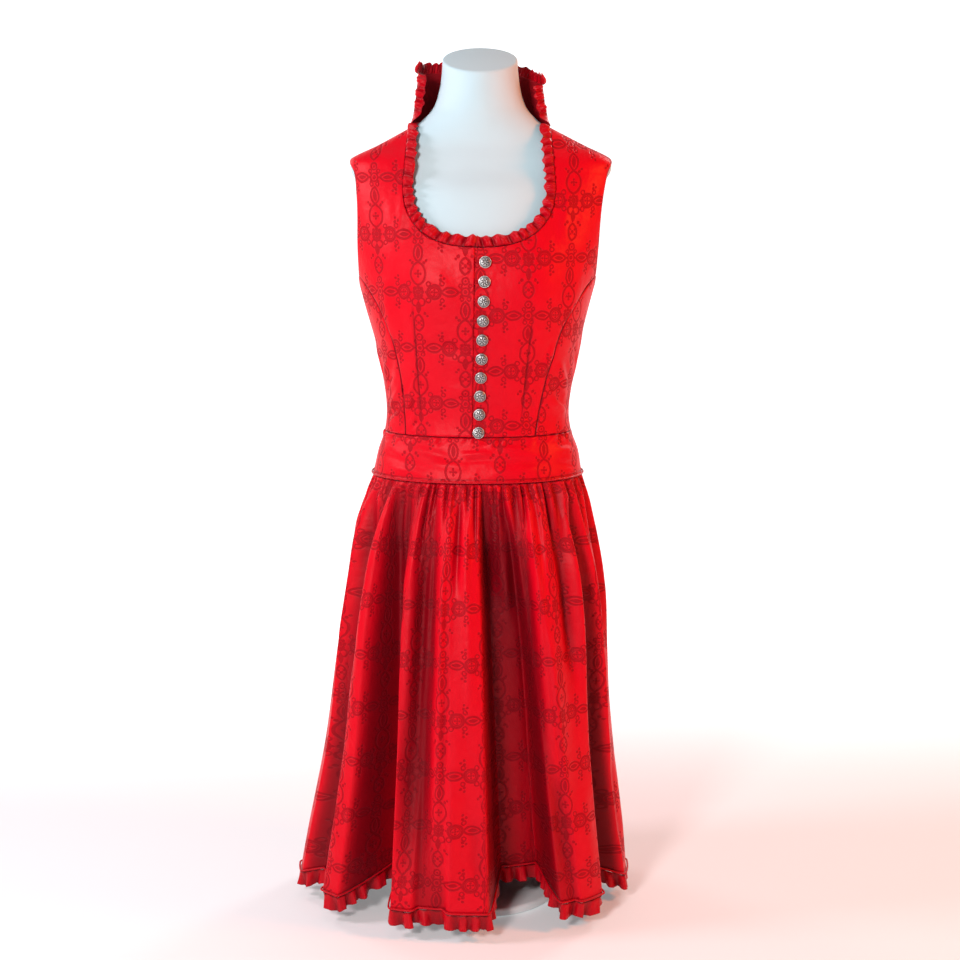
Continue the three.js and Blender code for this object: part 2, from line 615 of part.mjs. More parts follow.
/** Height of the hem at an angle: lowest on the lobes, higher where the folds sink in. */
function hemHeight(angle) {
  return HEM.lobe + HEM.recessRise * valleyDepth(angle, HEM.lobe);
}

/** Depth of the small gathers, which fade out at lengths that differ round the waist. */
function gatherDepth(place, z) {
  const uneven = 0.5 + 0.28 * Math.sin(5 * place + 0.7) + 0.22 * Math.sin(11 * place + 2);
  const length = THREE.MathUtils.lerp(GATHERS.shortest, GATHERS.longest, uneven);
  const fall = SKIRT_TOP - z;
  const rise = ease(fall / GATHERS.rise);
  return THREE.MathUtils.lerp(GATHERS.start, GATHERS.depth, rise) * ease(1 - (fall - GATHERS.rise) / length);
}

/** Skirt surface at a place round the cloth and a height. */
function skirt(place, z) {
  const angle = clothAngle(place);
  const point = outlinePoint(sectionAt(SKIRT_SECTIONS, z), angle);
  const sink = valleyDepth(angle, z) + gatherDepth(place, z) * (0.5 - 0.5 * Math.cos(GATHERS.count * place));
  const inward = new THREE.Vector3(-(Math.sin(angle) * Math.abs(Math.sin(angle)) ** 2), Math.cos(angle), 0);
  return point.addScaledVector(inward.normalize(), sink);
}

/** Lower edge of the skirt wall, where the ruffle is sewn on. */
function seamHeight(place) {
  return hemHeight(clothAngle(place)) + HEM.ruffle;
}

/** Places of the skirt's columns on the front (0) or the back (1), four to a gather. */
function skirtPlaces(half) {
  const columns = 2 * GATHERS.count;
  const gap = SEAM / 2 / 150;
  return Array.from({ length: columns + 1 }, (_, j) => {
    const place = -RIGHT_ANGLE + (Math.PI * j) / columns;
    return half * Math.PI + THREE.MathUtils.clamp(place, -RIGHT_ANGLE + gap, RIGHT_ANGLE - gap);
  });
}

function addSkirt() {
  for (const [half, side] of ['front', 'back'].entries()) {
    const places = skirtPlaces(half);
    const grid = SKIRT_ROWS.map((share) =>
      places.map((place) => [place, THREE.MathUtils.lerp(seamHeight(place), SKIRT_TOP, share)]),
    );
    add(`skirt_${side}`, clothOn(skirt, grid), MATERIALS.cloth);

    const level = (place) => seamHeight(place) + 2.5;
    const points = places.map((place) => movedOut(skirt, place, level(place), 1 + PIPING_RADIUS));
    const outs = places.map((place) => normalOf(skirt, place, level(place)));
    add(`hem_piping_${side}`, cordAlong(points, outs, PIPING_RADIUS, 3), MATERIALS.trim);

    const path = (t) => {
      const place = THREE.MathUtils.lerp(places[0], places[places.length - 1], t);
      const height = seamHeight(place) - 2 * SEAM;
      const out = normalOf(skirt, place, height).setZ(0).normalize();
      const point = movedOut(skirt, place, height, -WALL / 2).setZ(height);
      return { point, inward: new THREE.Vector3(0, 0, -1), out };
    };
    const rows = [
      { across: 0, wave: HEM.edgeWave, lift: 0 },
      { across: HEM.ruffle - 2 * SEAM, wave: HEM.wave, lift: 0 },
    ];
    add(`hem_ruffle_${side}`, wavyStrip(evenFrames(path, HEM.period, 2, 1200), rows), MATERIALS.trim);
  }
}

// --- Buttons and their loops -------------------------------------------------------------------------------

const SEAT = 0.55; // height of buttons and loops over the cloth
const BUTTON_PROFILE = [
  { r: 0, h: SEAT },
  { r: 1.8, h: SEAT },
  { r: 1.8, h: 2.6 },
  { r: BUTTONS.radius, h: 3 },
  { r: 6.8, h: 5.2 },
  { r: 0, h: 6.6 },
];
const LOOP = { radius: 0.7, reach: 3.4, lift: SEAT + 0.7 };

function addButtons() {
  for (let i = 0; i < BUTTONS.count; i++) {
    const share = i / (BUTTONS.count - 1);
    const z = THREE.MathUtils.lerp(BUTTONS.topZ, BUTTONS.bottomZ, share);
    const x = THREE.MathUtils.lerp(BUTTONS.topX, BUTTONS.bottomX, share);
    const number = String(i + 1).padStart(2, '0');
    const angle = angleAtX(x, z);
    const out = normalOf(body, angle, z);
    const button = new THREE.LatheGeometry(BUTTON_PROFILE.map(({ r, h }) => new THREE.Vector2(r, h)), 10);
    button.applyQuaternion(new THREE.Quaternion().setFromUnitVectors(new THREE.Vector3(0, 1, 0), out));
    button.translate(...body(angle, z).toArray());
    add(`button_${number}`, button, MATERIALS.pewter);

    const start = overlapX(z) + 0.4;
    const route = [
      { x: start, z: z + 2.2 },
      { x: x - 0.5, z: z + LOOP.reach },
      { x: x + LOOP.reach, z },
      { x: x - 0.5, z: z - LOOP.reach },
      { x: start, z: z - 2.2 },
    ];
    const angles = route.map((stop) => [angleAtX(stop.x, stop.z), stop.z]);
    const points = angles.map(([turn, height]) => movedOut(body, turn, height, LOOP.lift));
    const outs = angles.map(([turn, height]) => normalOf(body, turn, height));
    add(`loop_${number}`, cordAlong(points, outs, LOOP.radius, 4), MATERIALS.trim);
  }
}

// --- Dress form --------------------------------------------------------------------------------------------

/** Level ring of the form, set inside the body surface, scaled and leaning as asked. */
function formRing(section, scale = 1, lean = 0) {
  return Array.from({ length: FORM.columns }, (_, j) => {
    const point = outlinePoint(section, (FULL_TURN * j) / FORM.columns);
    point.multiply(new THREE.Vector3(scale, scale, 1));
    point.z += lean * point.y;
    return point;
  });
}

/** Section of the form under the cloth at height z, with its bust rounded into the sections. */
function formSection(z) {
  const section = sectionAt(BODY_SECTIONS, z);
  const shoulder = ease((z - (SHOULDER_TIP - 46)) / 36);
  const hip = ease((BAND_TOP - z) / (BAND_TOP - BODY_SECTIONS[0].z)) * FORM.hipInset;
  const inset = THREE.MathUtils.lerp(FORM.inset, FORM.shoulderInset, shoulder) + hip;
  const limit = THREE.MathUtils.lerp(FORM_HALF_WIDTH.armhole, FORM_HALF_WIDTH.shoulder, shoulder);
  const neck = ease((z - NECK_POINT + FORM_NECK.rise) / FORM_NECK.rise);
  const frontInset = THREE.MathUtils.lerp(FORM.shoulderFrontInset, FORM_NECK.frontInset, neck);
  return {
    z,
    left: Math.min(section.left - inset, limit),
    right: Math.min(section.right - inset, limit),
    front: section.front - THREE.MathUtils.lerp(FORM.inset, frontInset, shoulder) - hip,
    back: section.back - THREE.MathUtils.lerp(FORM.inset, FORM.shoulderBackInset, shoulder) - hip,
    square: section.square,
  };
}

function addForm() {
  const levels = [590, 630, 676, 706, 745, 785, 825, 860, 895, 930, 970, 1005, 1030, 1046, 1066, 1087];
  const foot = FOOT_RINGS.map(({ z, scale }) => formRing({ ...formSection(590), z }, scale));
  const torso = levels.map((z) => formRing(formSection(z)));
  const neck = NECK_RINGS.map((ring) => formRing({ ...ring, square: 2 }, 1, ring.lean));
  add('form_torso', bodyThrough([...foot, ...torso, ...neck]), MATERIALS.form);

  const [poleBottom, poleTop] = [BASE.bossHeight + SEAM, FOOT_RINGS[0].z - SEAM];
  const pole = new THREE.CylinderGeometry(POLE_RADIUS, POLE_RADIUS, poleTop - poleBottom, 16);
  pole.rotateX(RIGHT_ANGLE);
  pole.translate(0, 0, (poleTop + poleBottom) / 2);
  add('form_pole', pole, MATERIALS.steel);

  const profile = [
    [0, 0],
    [BASE.radius - BASE.edge, 0],
    [BASE.radius, BASE.edge],
    [BASE.radius, BASE.height - BASE.edge],
    [BASE.radius - BASE.edge, BASE.height],
    [BASE.boss, BASE.height + 2],
    [BASE.boss - 4, BASE.bossHeight],
    [0, BASE.bossHeight],
  ];
  const base = new THREE.LatheGeometry(profile.map(([r, h]) => new THREE.Vector2(r, h)), 24);
  base.rotateX(RIGHT_ANGLE);
  add('form_base', base, MATERIALS.form);
}

addBodice();
addCollar();
addWaistband();
addSkirt();
addButtons();
addForm();

export default dirndl;
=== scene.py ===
"""Sleeveless dirndl of satin jacquard with ruched frills and pewter buttons, on a limbless dress form."""
import logging
import math
from dataclasses import dataclass
from enum import Enum
from typing import Any, Callable, Sequence

import bpy
import numpy as np
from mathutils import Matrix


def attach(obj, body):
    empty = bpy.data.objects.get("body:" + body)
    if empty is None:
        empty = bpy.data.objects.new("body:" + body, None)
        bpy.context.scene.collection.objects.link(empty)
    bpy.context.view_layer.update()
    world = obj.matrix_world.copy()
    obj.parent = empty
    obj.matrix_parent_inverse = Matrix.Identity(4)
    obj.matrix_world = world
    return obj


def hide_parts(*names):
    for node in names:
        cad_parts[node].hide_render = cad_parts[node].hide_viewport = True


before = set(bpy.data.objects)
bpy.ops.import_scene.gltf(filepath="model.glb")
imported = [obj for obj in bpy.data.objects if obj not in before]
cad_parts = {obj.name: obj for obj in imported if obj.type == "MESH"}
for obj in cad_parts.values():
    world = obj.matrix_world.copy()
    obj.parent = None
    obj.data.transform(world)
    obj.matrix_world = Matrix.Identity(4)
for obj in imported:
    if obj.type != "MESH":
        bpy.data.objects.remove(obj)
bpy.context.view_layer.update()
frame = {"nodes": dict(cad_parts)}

LOG = logging.getLogger("dirndl")

Array = np.ndarray
Surface = Callable[[Array, Array], Array]
Edge = Callable[[Array], Array]

# Lengths are in millimetres until a mesh is made. The front faces -Y and +X points to the wearer's left.
MM = 0.001
FULL_TURN = 2.0 * math.pi
RIGHT_ANGLE = 0.5 * math.pi

WALL = 1.6  # cloth
THIN_WALL = 1.2  # ruffles and frills
SEAM = 0.3  # gap between neighbouring pieces
BAND_BOTTOM, BAND_TOP = 615.0, 676.0
UNDERARM, SHOULDER_TIP, NECK_POINT = 874.0, 1046.0, 1089.0


# --- Small tools --------------------------------------------------------------------------------


def ease(t: Any) -> Array:
    """Smooth step from 0 to 1."""
    t = np.clip(t, 0.0, 1.0)
    return t * t * (3.0 - 2.0 * t)


def lerp(low: Any, high: Any, t: Any) -> Any:
    """Value a share t of the way from low to high."""
    return low + (high - low) * t


def bell(distance: Any, width: Any) -> Array:
    """Bell curve: 1 at a distance of 0, 0.37 at its width."""
    return np.exp(-((distance / width) ** 2))


def unit(vectors: Array) -> Array:
    """Vectors scaled to a length of 1."""
    return vectors / np.maximum(np.linalg.norm(vectors, axis=-1, keepdims=True), 1e-9)


def normals(surface: Surface, angle: Array, up: Array, step: float = 0.004) -> Array:
    """Outward unit normals of a surface.

    Args:
        surface: Function of an angle and a second number that grows upward.
        angle: Angles from the front, in radians.
        up: Second number at each angle.
        step: How far apart the points are that give the slope.

    Returns:
        A unit normal for each pair of angle and up.
    """
    along = surface(angle + step, up) - surface(angle - step, up)
    rise = surface(angle, up + step) - surface(angle, up - step)
    return unit(np.cross(along, rise))


def moved_out(surface: Surface, angle: Array, up: Array, distance: Any) -> Array:
    """Points of a surface moved out along its normals."""
    out = normals(surface, angle, up)
    return surface(angle, up) + out * np.asarray(distance, float)[..., None]


def lengths_along(points: Array) -> Array:
    """Running length along the last but one axis of an array of points, from 0."""
    steps = np.linalg.norm(np.diff(points, axis=-2), axis=-1)
    return np.concatenate([np.zeros_like(steps[..., :1]), np.cumsum(steps, axis=-1)], axis=-1)


# --- Surfaces -----------------------------------------------------------------------------------


def outline_reach(angle: Array, left: Array, right: Array, front: Array, back: Array, square: Array) -> Array:
    """Distance from the middle to a rounded outline, at angles from the front."""
    width = np.where(np.sin(angle) < 0, left, right)
    depth = np.where(np.cos(angle) > 0, front, back)
    across, along = np.abs(np.sin(angle) / width), np.abs(np.cos(angle) / depth)
    return (across**square + along**square) ** (-1 / square)


@dataclass(frozen=True)
class Sections:
    """Level outlines of a surface. Columns: z, left (-X) and right half width, front and back depth, square.

    square is how far the outline is from an ellipse (2).
    """

    rows: tuple[tuple[float, ...], ...]

    def at(self, z: Array) -> Array:
        """Columns after z at each height, in a smooth curve from row to row."""
        table = np.array(self.rows)
        level, values = table[:, 0], table[:, 1:]
        height = np.clip(z, level[0], level[-1])
        high = np.clip(np.searchsorted(level, height, side="left"), 1, len(level) - 1)
        low, before, after = high - 1, np.maximum(high - 2, 0), np.minimum(high + 1, len(level) - 1)
        span = (level[high] - level[low])[..., None]
        t = (height - level[low])[..., None] / span
        rise = values[high] - values[low]
        slope_low = (values[high] - values[before]) / (level[high] - level[before])[..., None] * span
        slope_high = (values[after] - values[low]) / (level[after] - level[low])[..., None] * span
        bend = (1 - t) * (slope_low - rise) - t * (slope_high - rise)
        return values[low] + rise * t + t * (1 - t) * bend

    def outline(self, angle: Array, z: Array) -> Array:
        """Points of the rounded outlines at angles from the front, positive towards +X."""
        angle, z = np.broadcast_arrays(np.asarray(angle, float), np.asarray(z, float))
        reach = outline_reach(angle, *np.moveaxis(self.at(z), -1, 0))
        return np.stack([reach * np.sin(angle), -reach * np.cos(angle), z], axis=-1)


BODY_SECTIONS = Sections(
    (
        (590, 160, 152, 116, 112, 2.15),
        (615, 150, 143, 110, 106, 2.15),
        (648, 142, 137, 101, 97, 2.15),
        (676, 133, 127, 94, 89, 2.15),
        (706, 130, 124, 93, 87, 2.15),
        (750, 135, 130, 101, 93, 2.15),
        (800, 145, 139, 113, 100, 2.2),
        (850, 159, 151, 120, 104, 2.2),
        (899, 171, 164, 119, 106, 2.2),
        (940, 178, 173, 112, 106, 2.2),
        (997, 182, 182, 94, 101, 2.2),
        (1028, 181, 184, 78, 94, 2.2),
        (1046, 178, 180, 68, 88, 2.15),
        (1066, 138, 141, 57, 81, 2.1),
        (1089, 95, 96, 47, 75, 2.05),
    )
)
COLLAR_SECTIONS = Sections(
    ((1089, 94, 95, 47, 75, 2.05), (1125, 88, 88, 47, 71, 2.1), (1168, 83, 82, 47, 72, 2.1))
)
SKIRT_SECTIONS = Sections(
    (
        (15, 264, 214, 196, 188, 2.1),
        (85, 251, 208, 186, 183, 2.1),
        (229, 222, 191, 172, 172, 2.1),
        (372, 202, 178, 159, 158, 2.1),
        (477, 184, 169, 146, 143, 2.1),
        (546, 175, 158, 133, 130, 2.1),
        (590, 162, 151, 121, 117, 2.12),
        (615, 150, 143, 110, 106, 2.15),
    )
)


@dataclass(frozen=True)
class Crease:
    """Soft fold of the cloth, between two places of its piece's flat frame, in millimetres.

    A depth above 0 stands out and one below 0 sinks in. bow is how far its middle swings to its left.
    """

    start: tuple[float, float]
    end: tuple[float, float]
    width: float
    depth: float
    bow: float = 0.0

    def relief(self, across: Array, along: Array) -> Array:
        """How far the crease moves the cloth out at each place."""
        run = (self.end[0] - self.start[0], self.end[1] - self.start[1])
        length = math.hypot(*run)
        dx, dy = across - self.start[0], along - self.start[1]
        t = (dx * run[0] + dy * run[1]) / length**2
        side = (dy * run[0] - dx * run[1]) / length - self.bow * 4 * t * (1 - t)
        taper = ease(t / 0.4 + 0.15) * ease((1 - t) / 0.4 + 0.15)
        q = side / self.width
        return self.depth * taper * (np.exp(-q * q) - 0.4 * np.exp(-((q - 1.9) ** 2)))


def crease_set(*rows: tuple[float, ...]) -> tuple[Crease, ...]:
    """Creases from rows of start (two numbers), end (two numbers), width, depth and sometimes bow."""
    return tuple(Crease(row[:2], row[2:4], *row[4:]) for row in rows)


def relief_of(folds: Sequence[Crease], across: Array, along: Array) -> Array:
    """How far all creases of a piece together move its cloth out."""
    total = np.zeros(np.broadcast(across, along).shape)
    for crease in folds:
        total += crease.relief(across, along)
    return total


@dataclass(frozen=True)
class BodySurface:
    """Surface that the bodice and waistband lie on: the sections with the fullness of bust darts and cups."""

    bust_x: float = 82.0
    bust_z: float = 874.0
    bust_lift: float = 9.0
    bust_wide: float = 42.0
    bust_tall: float = 58.0

    def point(self, angle: Array, z: Array) -> Array:
        """Points at angles from the front and heights."""
        points = BODY_SECTIONS.outline(angle, z)
        across = (np.abs(points[..., 0]) - self.bust_x) / self.bust_wide
        along = (z - self.bust_z) / self.bust_tall
        swell = np.maximum(0, np.cos(angle)) * np.exp(-across * across - along * along)
        points[..., 1] -= self.bust_lift * swell
        return points

    def angle_at_x(self, x: Array, z: Array) -> Array:
        """Angle of the front's points that lie at x on levels z."""
        left, right, front, _, square = np.moveaxis(BODY_SECTIONS.at(z), -1, 0)
        share = np.minimum(1, np.abs(x) / np.where(x < 0, left, right))
        return np.arctan2(x, front * (1 - share**square) ** (1 / square))

    def angle_at_y(self, y: Array, z: Array, side: int) -> Array:
        """Angle of the points of one side (-1 or 1) that lie at y on levels z."""
        left, right, front, back, square = np.moveaxis(BODY_SECTIONS.at(z), -1, 0)
        width = left if side < 0 else right
        x = width * (1 - (np.abs(y) / np.where(y < 0, front, back)) ** square) ** (1 / square)
        return np.arctan2(side * x, -y)


BODY = BodySurface()


@dataclass(frozen=True)
class CollarSurface:
    """Stand-up collar, from its seam (0) to its top edge (1). Only its sides and back are used."""

    left: float = 73.0
    back: float = 78.0
    right: float = 58.0

    def height(self, angle: Array) -> Array:
        """Height from 90 degrees (left end) over 180 (back) to 270 (right end)."""
        share = (angle - RIGHT_ANGLE) / math.pi
        to_back = lerp(self.right, self.back, ease(2.6 * share))
        return np.where(share < 0.5, to_back, lerp(self.back, self.left, ease(2 * share - 1)))

    def point(self, angle: Array, up: Array) -> Array:
        """Points at angles from the front and shares of the collar's height."""
        return COLLAR_SECTIONS.outline(angle, NECK_POINT + SEAM + up * self.height(angle))


COLLAR = CollarSurface()


@dataclass(frozen=True)
class Valley:
    """Large fold that sinks into the skirt. hem and top are its places in degrees from the front."""

    hem: float
    top: float
    half_width: float
    depth: float
    start: float


# Folds of the gathered skirt, in millimetres round its two widths and in height.
SKIRT_FRONT_CREASES = crease_set(
    (-214, 606, -208, 300, 9.0, -8.0), (-192, 600, -188, 200, 12.0, 5.0),
    (-174, 610, -168, 340, 9.0, -12.0), (-154, 606, -156, 170, 11.0, 6.0),
    (-112, 608, -116, 470, 6.0, -6.0), (-99, 600, -94, 230, 8.0, 5.0), (-86, 612, -78, 60, 20.0, -22.0, 3),
    (-70, 604, -58, 300, 6.0, -7.0), (-50, 604, -50, 90, 8.0, 7.0), (-27, 610, -30, 470, 5.5, -6.0),
    (-16, 600, -10, 280, 8.0, 5.0), (6, 612, 12, 440, 9.0, -12.0), (30, 610, 36, 420, 7.0, 7.0),
    (57, 612, 80, 200, 11.0, -15.0), (78, 600, 86, 380, 7.0, 4.0), (100, 600, 104, 160, 11.0, 6.0),
    (122, 612, 130, 330, 8.0, -12.0), (140, 600, 148, 250, 8.0, 5.0), (176, 606, 184, 220, 9.0, 6.0),
    (200, 606, 206, 380, 8.0, -8.0), (220, 600, 222, 300, 8.0, 4.0), (-112, 300, -98, 60, 9.0, 3.4),
    (-34, 240, -36, 56, 10.0, 3.6, 3), (-6, 180, 0, 50, 8.0, -3.4), (94, 240, 106, 56, 8.0, -4.0),
    (128, 200, 134, 52, 9.0, 3.4), (-184, 240, -176, 60, 10.0, -4.0), (190, 230, 196, 60, 9.0, -4.0),
)
SKIRT_BACK_CREASES = crease_set(
    (-212, 606, -206, 320, 9.0, -8.0), (-186, 600, -182, 200, 11.0, 5.0), (-150, 608, -152, 380, 8.0, -8.0),
    (-124, 600, -128, 220, 10.0, 5.5, 3), (-96, 608, -98, 420, 7.0, -8.0), (-62, 600, -66, 200, 11.0, 6.0),
    (-34, 610, -30, 360, 8.0, -9.0), (-6, 600, -10, 330, 8.0, 4.0), (40, 600, 48, 220, 10.0, 5.5),
    (66, 610, 74, 400, 7.0, -8.5), (92, 600, 100, 260, 9.0, 5.0), (126, 608, 134, 340, 8.0, -8.5),
    (156, 600, 162, 200, 11.0, 5.5), (196, 606, 202, 360, 8.0, -7.5), (-90, 220, -80, 55, 9.0, -3.6),
    (-40, 210, -36, 55, 10.0, 3.4), (74, 220, 84, 55, 9.0, 3.6), (150, 210, 156, 55, 9.0, -3.6),
)


@dataclass(frozen=True)
class SkirtSurface:
    """Gathered skirt: its outermost reach, the large folds that sink in and the small gathers."""

    valleys: tuple[Valley, ...]
    lobe: float = 15.0
    recess_rise: float = 0.27
    fall_power: float = 0.62
    wall_share: float = 0.42
    top_width: float = 0.55
    gathers: int = 44
    gather_depth: float = 4.0
    gather_start: float = 1.3
    gather_rise: float = 34.0
    shortest: float = 80.0
    longest: float = 210.0
    ruffle: float = 23.0
    round_scale: float = 2.6  # millimetres that a degree counts for in the places of folds
    top_room: float = 14.0  # how far the cloth can sink before it meets the form's hips
    room_growth: float = 0.42
    foot_room: float = 2.0

    @property
    def top(self) -> float:
        """Height of the skirt's top edge."""
        return BAND_BOTTOM - 2 * SEAM

    def angle(self, place: Array) -> Array:
        """Polar angle of a place round the cloth, which is drawn together unevenly."""
        return place + 0.035 * np.sin(2 * place) * np.cos(5 * place) + 0.012 * np.sin(6 * place)

    def valley_depth(self, angle: Array, z: Array) -> Array:
        """How far the large folds sink in."""
        depth = np.zeros(np.broadcast(angle, z).shape)
        for valley in self.valleys:
            fall = np.clip((valley.start - z) / (valley.start - self.lobe), 0, 1)
            centre = np.radians(lerp(valley.top, valley.hem, fall**0.6))
            half = math.radians(valley.half_width) * lerp(self.top_width, 1, np.sqrt(fall))
            offset = np.abs(np.arctan2(np.sin(angle - centre), np.cos(angle - centre))) / half
            depth = depth + valley.depth * fall**self.fall_power * ease((1 - offset) / self.wall_share)
        return depth

    def gather(self, place: Array, z: Array) -> Array:
        """Depth of the small gathers, which fade out at lengths that differ round the waist."""
        uneven = 0.5 + 0.28 * np.sin(5 * place + 0.7) + 0.22 * np.sin(11 * place + 2)
        length = lerp(self.shortest, self.longest, uneven)
        fall = self.top - z
        depth = lerp(self.gather_start, self.gather_depth, ease(fall / self.gather_rise))
        return depth * ease(1 - (fall - self.gather_rise) / length)

    def small_gathers(self, place: Array, z: Array) -> Array:
        """Tight puckers right under the waistband, which run out at uneven lengths."""
        fall = self.top - z
        length = 50 + 24 * np.sin(7 * place + 1.3) + 16 * np.sin(17 * place)
        phase = 1.3 * self.gathers * place + 1.6 * np.sin(9 * place) + 0.9 * np.sin(23 * place + 1)
        fade = ease(1 - fall / (2.0 * length)) * lerp(0.4, 1, ease(fall / 9))
        depth = 8.5 + 2.5 * np.sin(13 * place + 2)
        return depth * fade * (0.5 - 0.5 * np.cos(phase)) ** 1.7

    def folds(self, place: Array, z: Array) -> Array:
        """How far the middle-sized folds stand out."""
        turn = self.round_scale * np.degrees(place)
        half_turn = 180 * self.round_scale
        rise = 0.0
        for folds, shifts in ((SKIRT_FRONT_CREASES, (0, -2)), (SKIRT_BACK_CREASES, (-1, 1))):
            for shift in shifts:
                rise = rise + relief_of(folds, turn + shift * half_turn, z)
        return rise

    def sink(self, place: Array, z: Array) -> Array:
        """How far the cloth lies inside its outermost reach."""
        pleat = 1.35 * (0.5 - 0.5 * np.cos(self.gathers * place)) ** 1.6
        deep = self.valley_depth(self.angle(place), z) + self.gather(place, z) * pleat
        deep = deep + self.small_gathers(place, z) - self.folds(place, z)
        room = self.top_room + self.room_growth * (600 - z) + self.foot_room * np.maximum(0, 535 - z)
        return np.where(deep > 0, room * np.tanh(deep / room), deep)

    def shade(self, place: Array, z: Array) -> Array:
        """Painted shade: how much deeper the cloth's colour is drawn where it lies back between folds."""
        deep = np.maximum(0, self.sink(place, z) - 1.5)
        return 0.84 * (1 - np.exp(-((deep / 8.5) ** 1.3))) * (1 - 0.42 * ease((deep - 38) / 55))

    def point(self, place: Array, z: Array) -> Array:
        """Points at places round the cloth and heights."""
        angle = self.angle(place)
        points = SKIRT_SECTIONS.outline(angle, z)
        sink = self.sink(place, z)
        inward = np.stack([-np.sin(angle) * np.sin(angle) ** 2, np.cos(angle), 0 * angle], axis=-1)
        return points + unit(inward) * sink[..., None]

    def seam_height(self, place: Array) -> Array:
        """Lower edge of the skirt's wall, where the ruffle is sewn on: lowest on the lobes."""
        return self.lobe + self.recess_rise * self.valley_depth(self.angle(place), self.lobe) + self.ruffle


SKIRT = SkirtSurface(
    (
        Valley(-73, -66, 9, 30, 585),
        Valley(-46, -50, 11, 100, 604),
        Valley(-20, -22, 8, 9, 590),
        Valley(19, 7, 16, 104, 606),
        Valley(37, 22, 7, 8, 560),
        Valley(66, 60, 11, 42, 590),
        Valley(101, 99, 10, 30, 560),
        Valley(127, 124, 14, 66, 600),
        Valley(156, 152, 12, 48, 570),
        Valley(184, 186, 15, 78, 600),
        Valley(213, 210, 11, 42, 550),
        Valley(240, 239, 14, 70, 600),
        Valley(263, 264, 8, 22, 540),
    )
)


class ClothLengths:
    """Lengths round a surface from its front at each height, to lay the cloth's pattern at its true size."""

    def __init__(self, surface: Surface, low: float, high: float, rows: int, columns: int) -> None:
        """Measures the surface.

        Args:
            surface: Function of an angle and a height.
            low: Lowest height.
            high: Highest height.
            rows: Number of heights measured.
            columns: Number of angles measured from -180 to 360 degrees.
        """
        self.levels = np.linspace(low, high, rows)
        self.angles = np.linspace(-math.pi, FULL_TURN, columns)
        angle, level = np.meshgrid(self.angles, self.levels)
        lengths = lengths_along(surface(angle, level))
        front = (columns - 1) // 3
        self.table = lengths - lengths[:, front : front + 1]

    def at(self, angle: Array, z: Array) -> Array:
        """Length from the front to each angle on each level."""
        column = np.interp(angle, self.angles, np.arange(len(self.angles)))
        row = np.interp(z, self.levels, np.arange(len(self.levels)))
        i = np.minimum(row.astype(int), len(self.levels) - 2)
        j = np.minimum(column.astype(int), len(self.angles) - 2)
        lower = lerp(self.table[i, j], self.table[i, j + 1], column - j)
        upper = lerp(self.table[i + 1, j], self.table[i + 1, j + 1], column - j)
        return lerp(lower, upper, row - i)

    def across(self, angle: Array, z: Array) -> Array:
        """Length from the middle of the front or, on the back, from the middle of the back."""
        middle = math.pi if np.mean(angle) > RIGHT_ANGLE else 0.0
        return self.at(angle, z) - self.at(middle + 0 * z, z)


# --- Grids of points ----------------------------------------------------------------------------


def patch(left: Edge, right: Edge, across: int, up: Array, top: Edge | None = None) -> Array:
    """Grid of [angle, up] pairs that fills four edges. The lower one is straight.

    Args:
        left: Edge that runs up, a function of shares from 0 to 1.
        right: Edge that runs up.
        across: Number of steps across.
        up: Shares of the rows on the way up.
        top: Upper edge, unless it is straight.

    Returns:
        Array of rows, columns and the two numbers of a pair.
    """
    s = np.linspace(0, 1, across + 1)
    si, ti = s[None, :, None], np.asarray(up)[:, None, None]
    ends = np.array([0.0, 1.0])
    bottom, level = (straight(left(ends)[row], right(ends)[row]) for row in (0, 1))
    low, high = bottom(s)[None], (top or level)(s)[None]
    first, last = left(np.asarray(up))[:, None], right(np.asarray(up))[:, None]
    ruled = (1 - ti) * low + ti * high + (1 - si) * first + si * last
    corners = (1 - ti) * ((1 - si) * low[:, :1] + si * low[:, -1:])
    corners = corners + ti * ((1 - si) * high[:, :1] + si * high[:, -1:])
    return ruled - corners


def straight(start: Sequence[float], end: Sequence[float]) -> Edge:
    """Straight edge between two [angle, up] pairs."""
    return lambda t: lerp(np.asarray(start, float), np.asarray(end, float), np.asarray(t)[..., None])


def chained(share: float, first: Edge, second: Edge) -> Edge:
    """One edge made of two, which meet at the share given."""

    def edge(t: Array) -> Array:
        t = np.asarray(t, float)
        before = first(np.clip(t / share, 0, 1))
        after = second(np.clip((t - share) / (1 - share), 0, 1))
        return np.where((t <= share)[..., None], before, after)

    return edge


def pairs(angle: Array, up: Array) -> Array:
    """Array of [angle, up] pairs."""
    return np.stack(np.broadcast_arrays(angle, up), axis=-1)


def quads(rows: int, columns: int, ring: bool = True, loop: bool = False) -> Array:
    """Faces of a grid of points.

    Args:
        rows: Number of rows.
        columns: Number of points in a row.
        ring: Whether each row is closed on itself.
        loop: Whether the last row meets the first.

    Returns:
        Four point numbers a face.
    """
    index = np.arange(rows * columns).reshape(rows, columns)
    low, high = (index, np.roll(index, -1, 0)) if loop else (index[:-1], index[1:])
    if ring:
        corners = low, np.roll(low, -1, 1), np.roll(high, -1, 1), high
    else:
        corners = low[:, :-1], low[:, 1:], high[:, 1:], high[:, :-1]
    return np.stack(corners, -1).reshape(-1, 4)


def capped_tube(rings: int, sides: int, inside_out: bool = False) -> Array:
    """Faces of a stack of closed rings, with a fan of triangles over the first and the last."""
    faces = quads(rings, sides)
    fan = np.arange(1, sides - 1)
    near, far = fan + 1, fan
    if inside_out:
        faces, near, far = faces[:, [0, 3, 2, 1]], far, near
    last = (rings - 1) * sides
    low = np.stack([0 * fan, near, far, far], -1)
    high = np.stack([0 * fan, far, near, near], -1) + last
    return np.concatenate([faces, low, high])


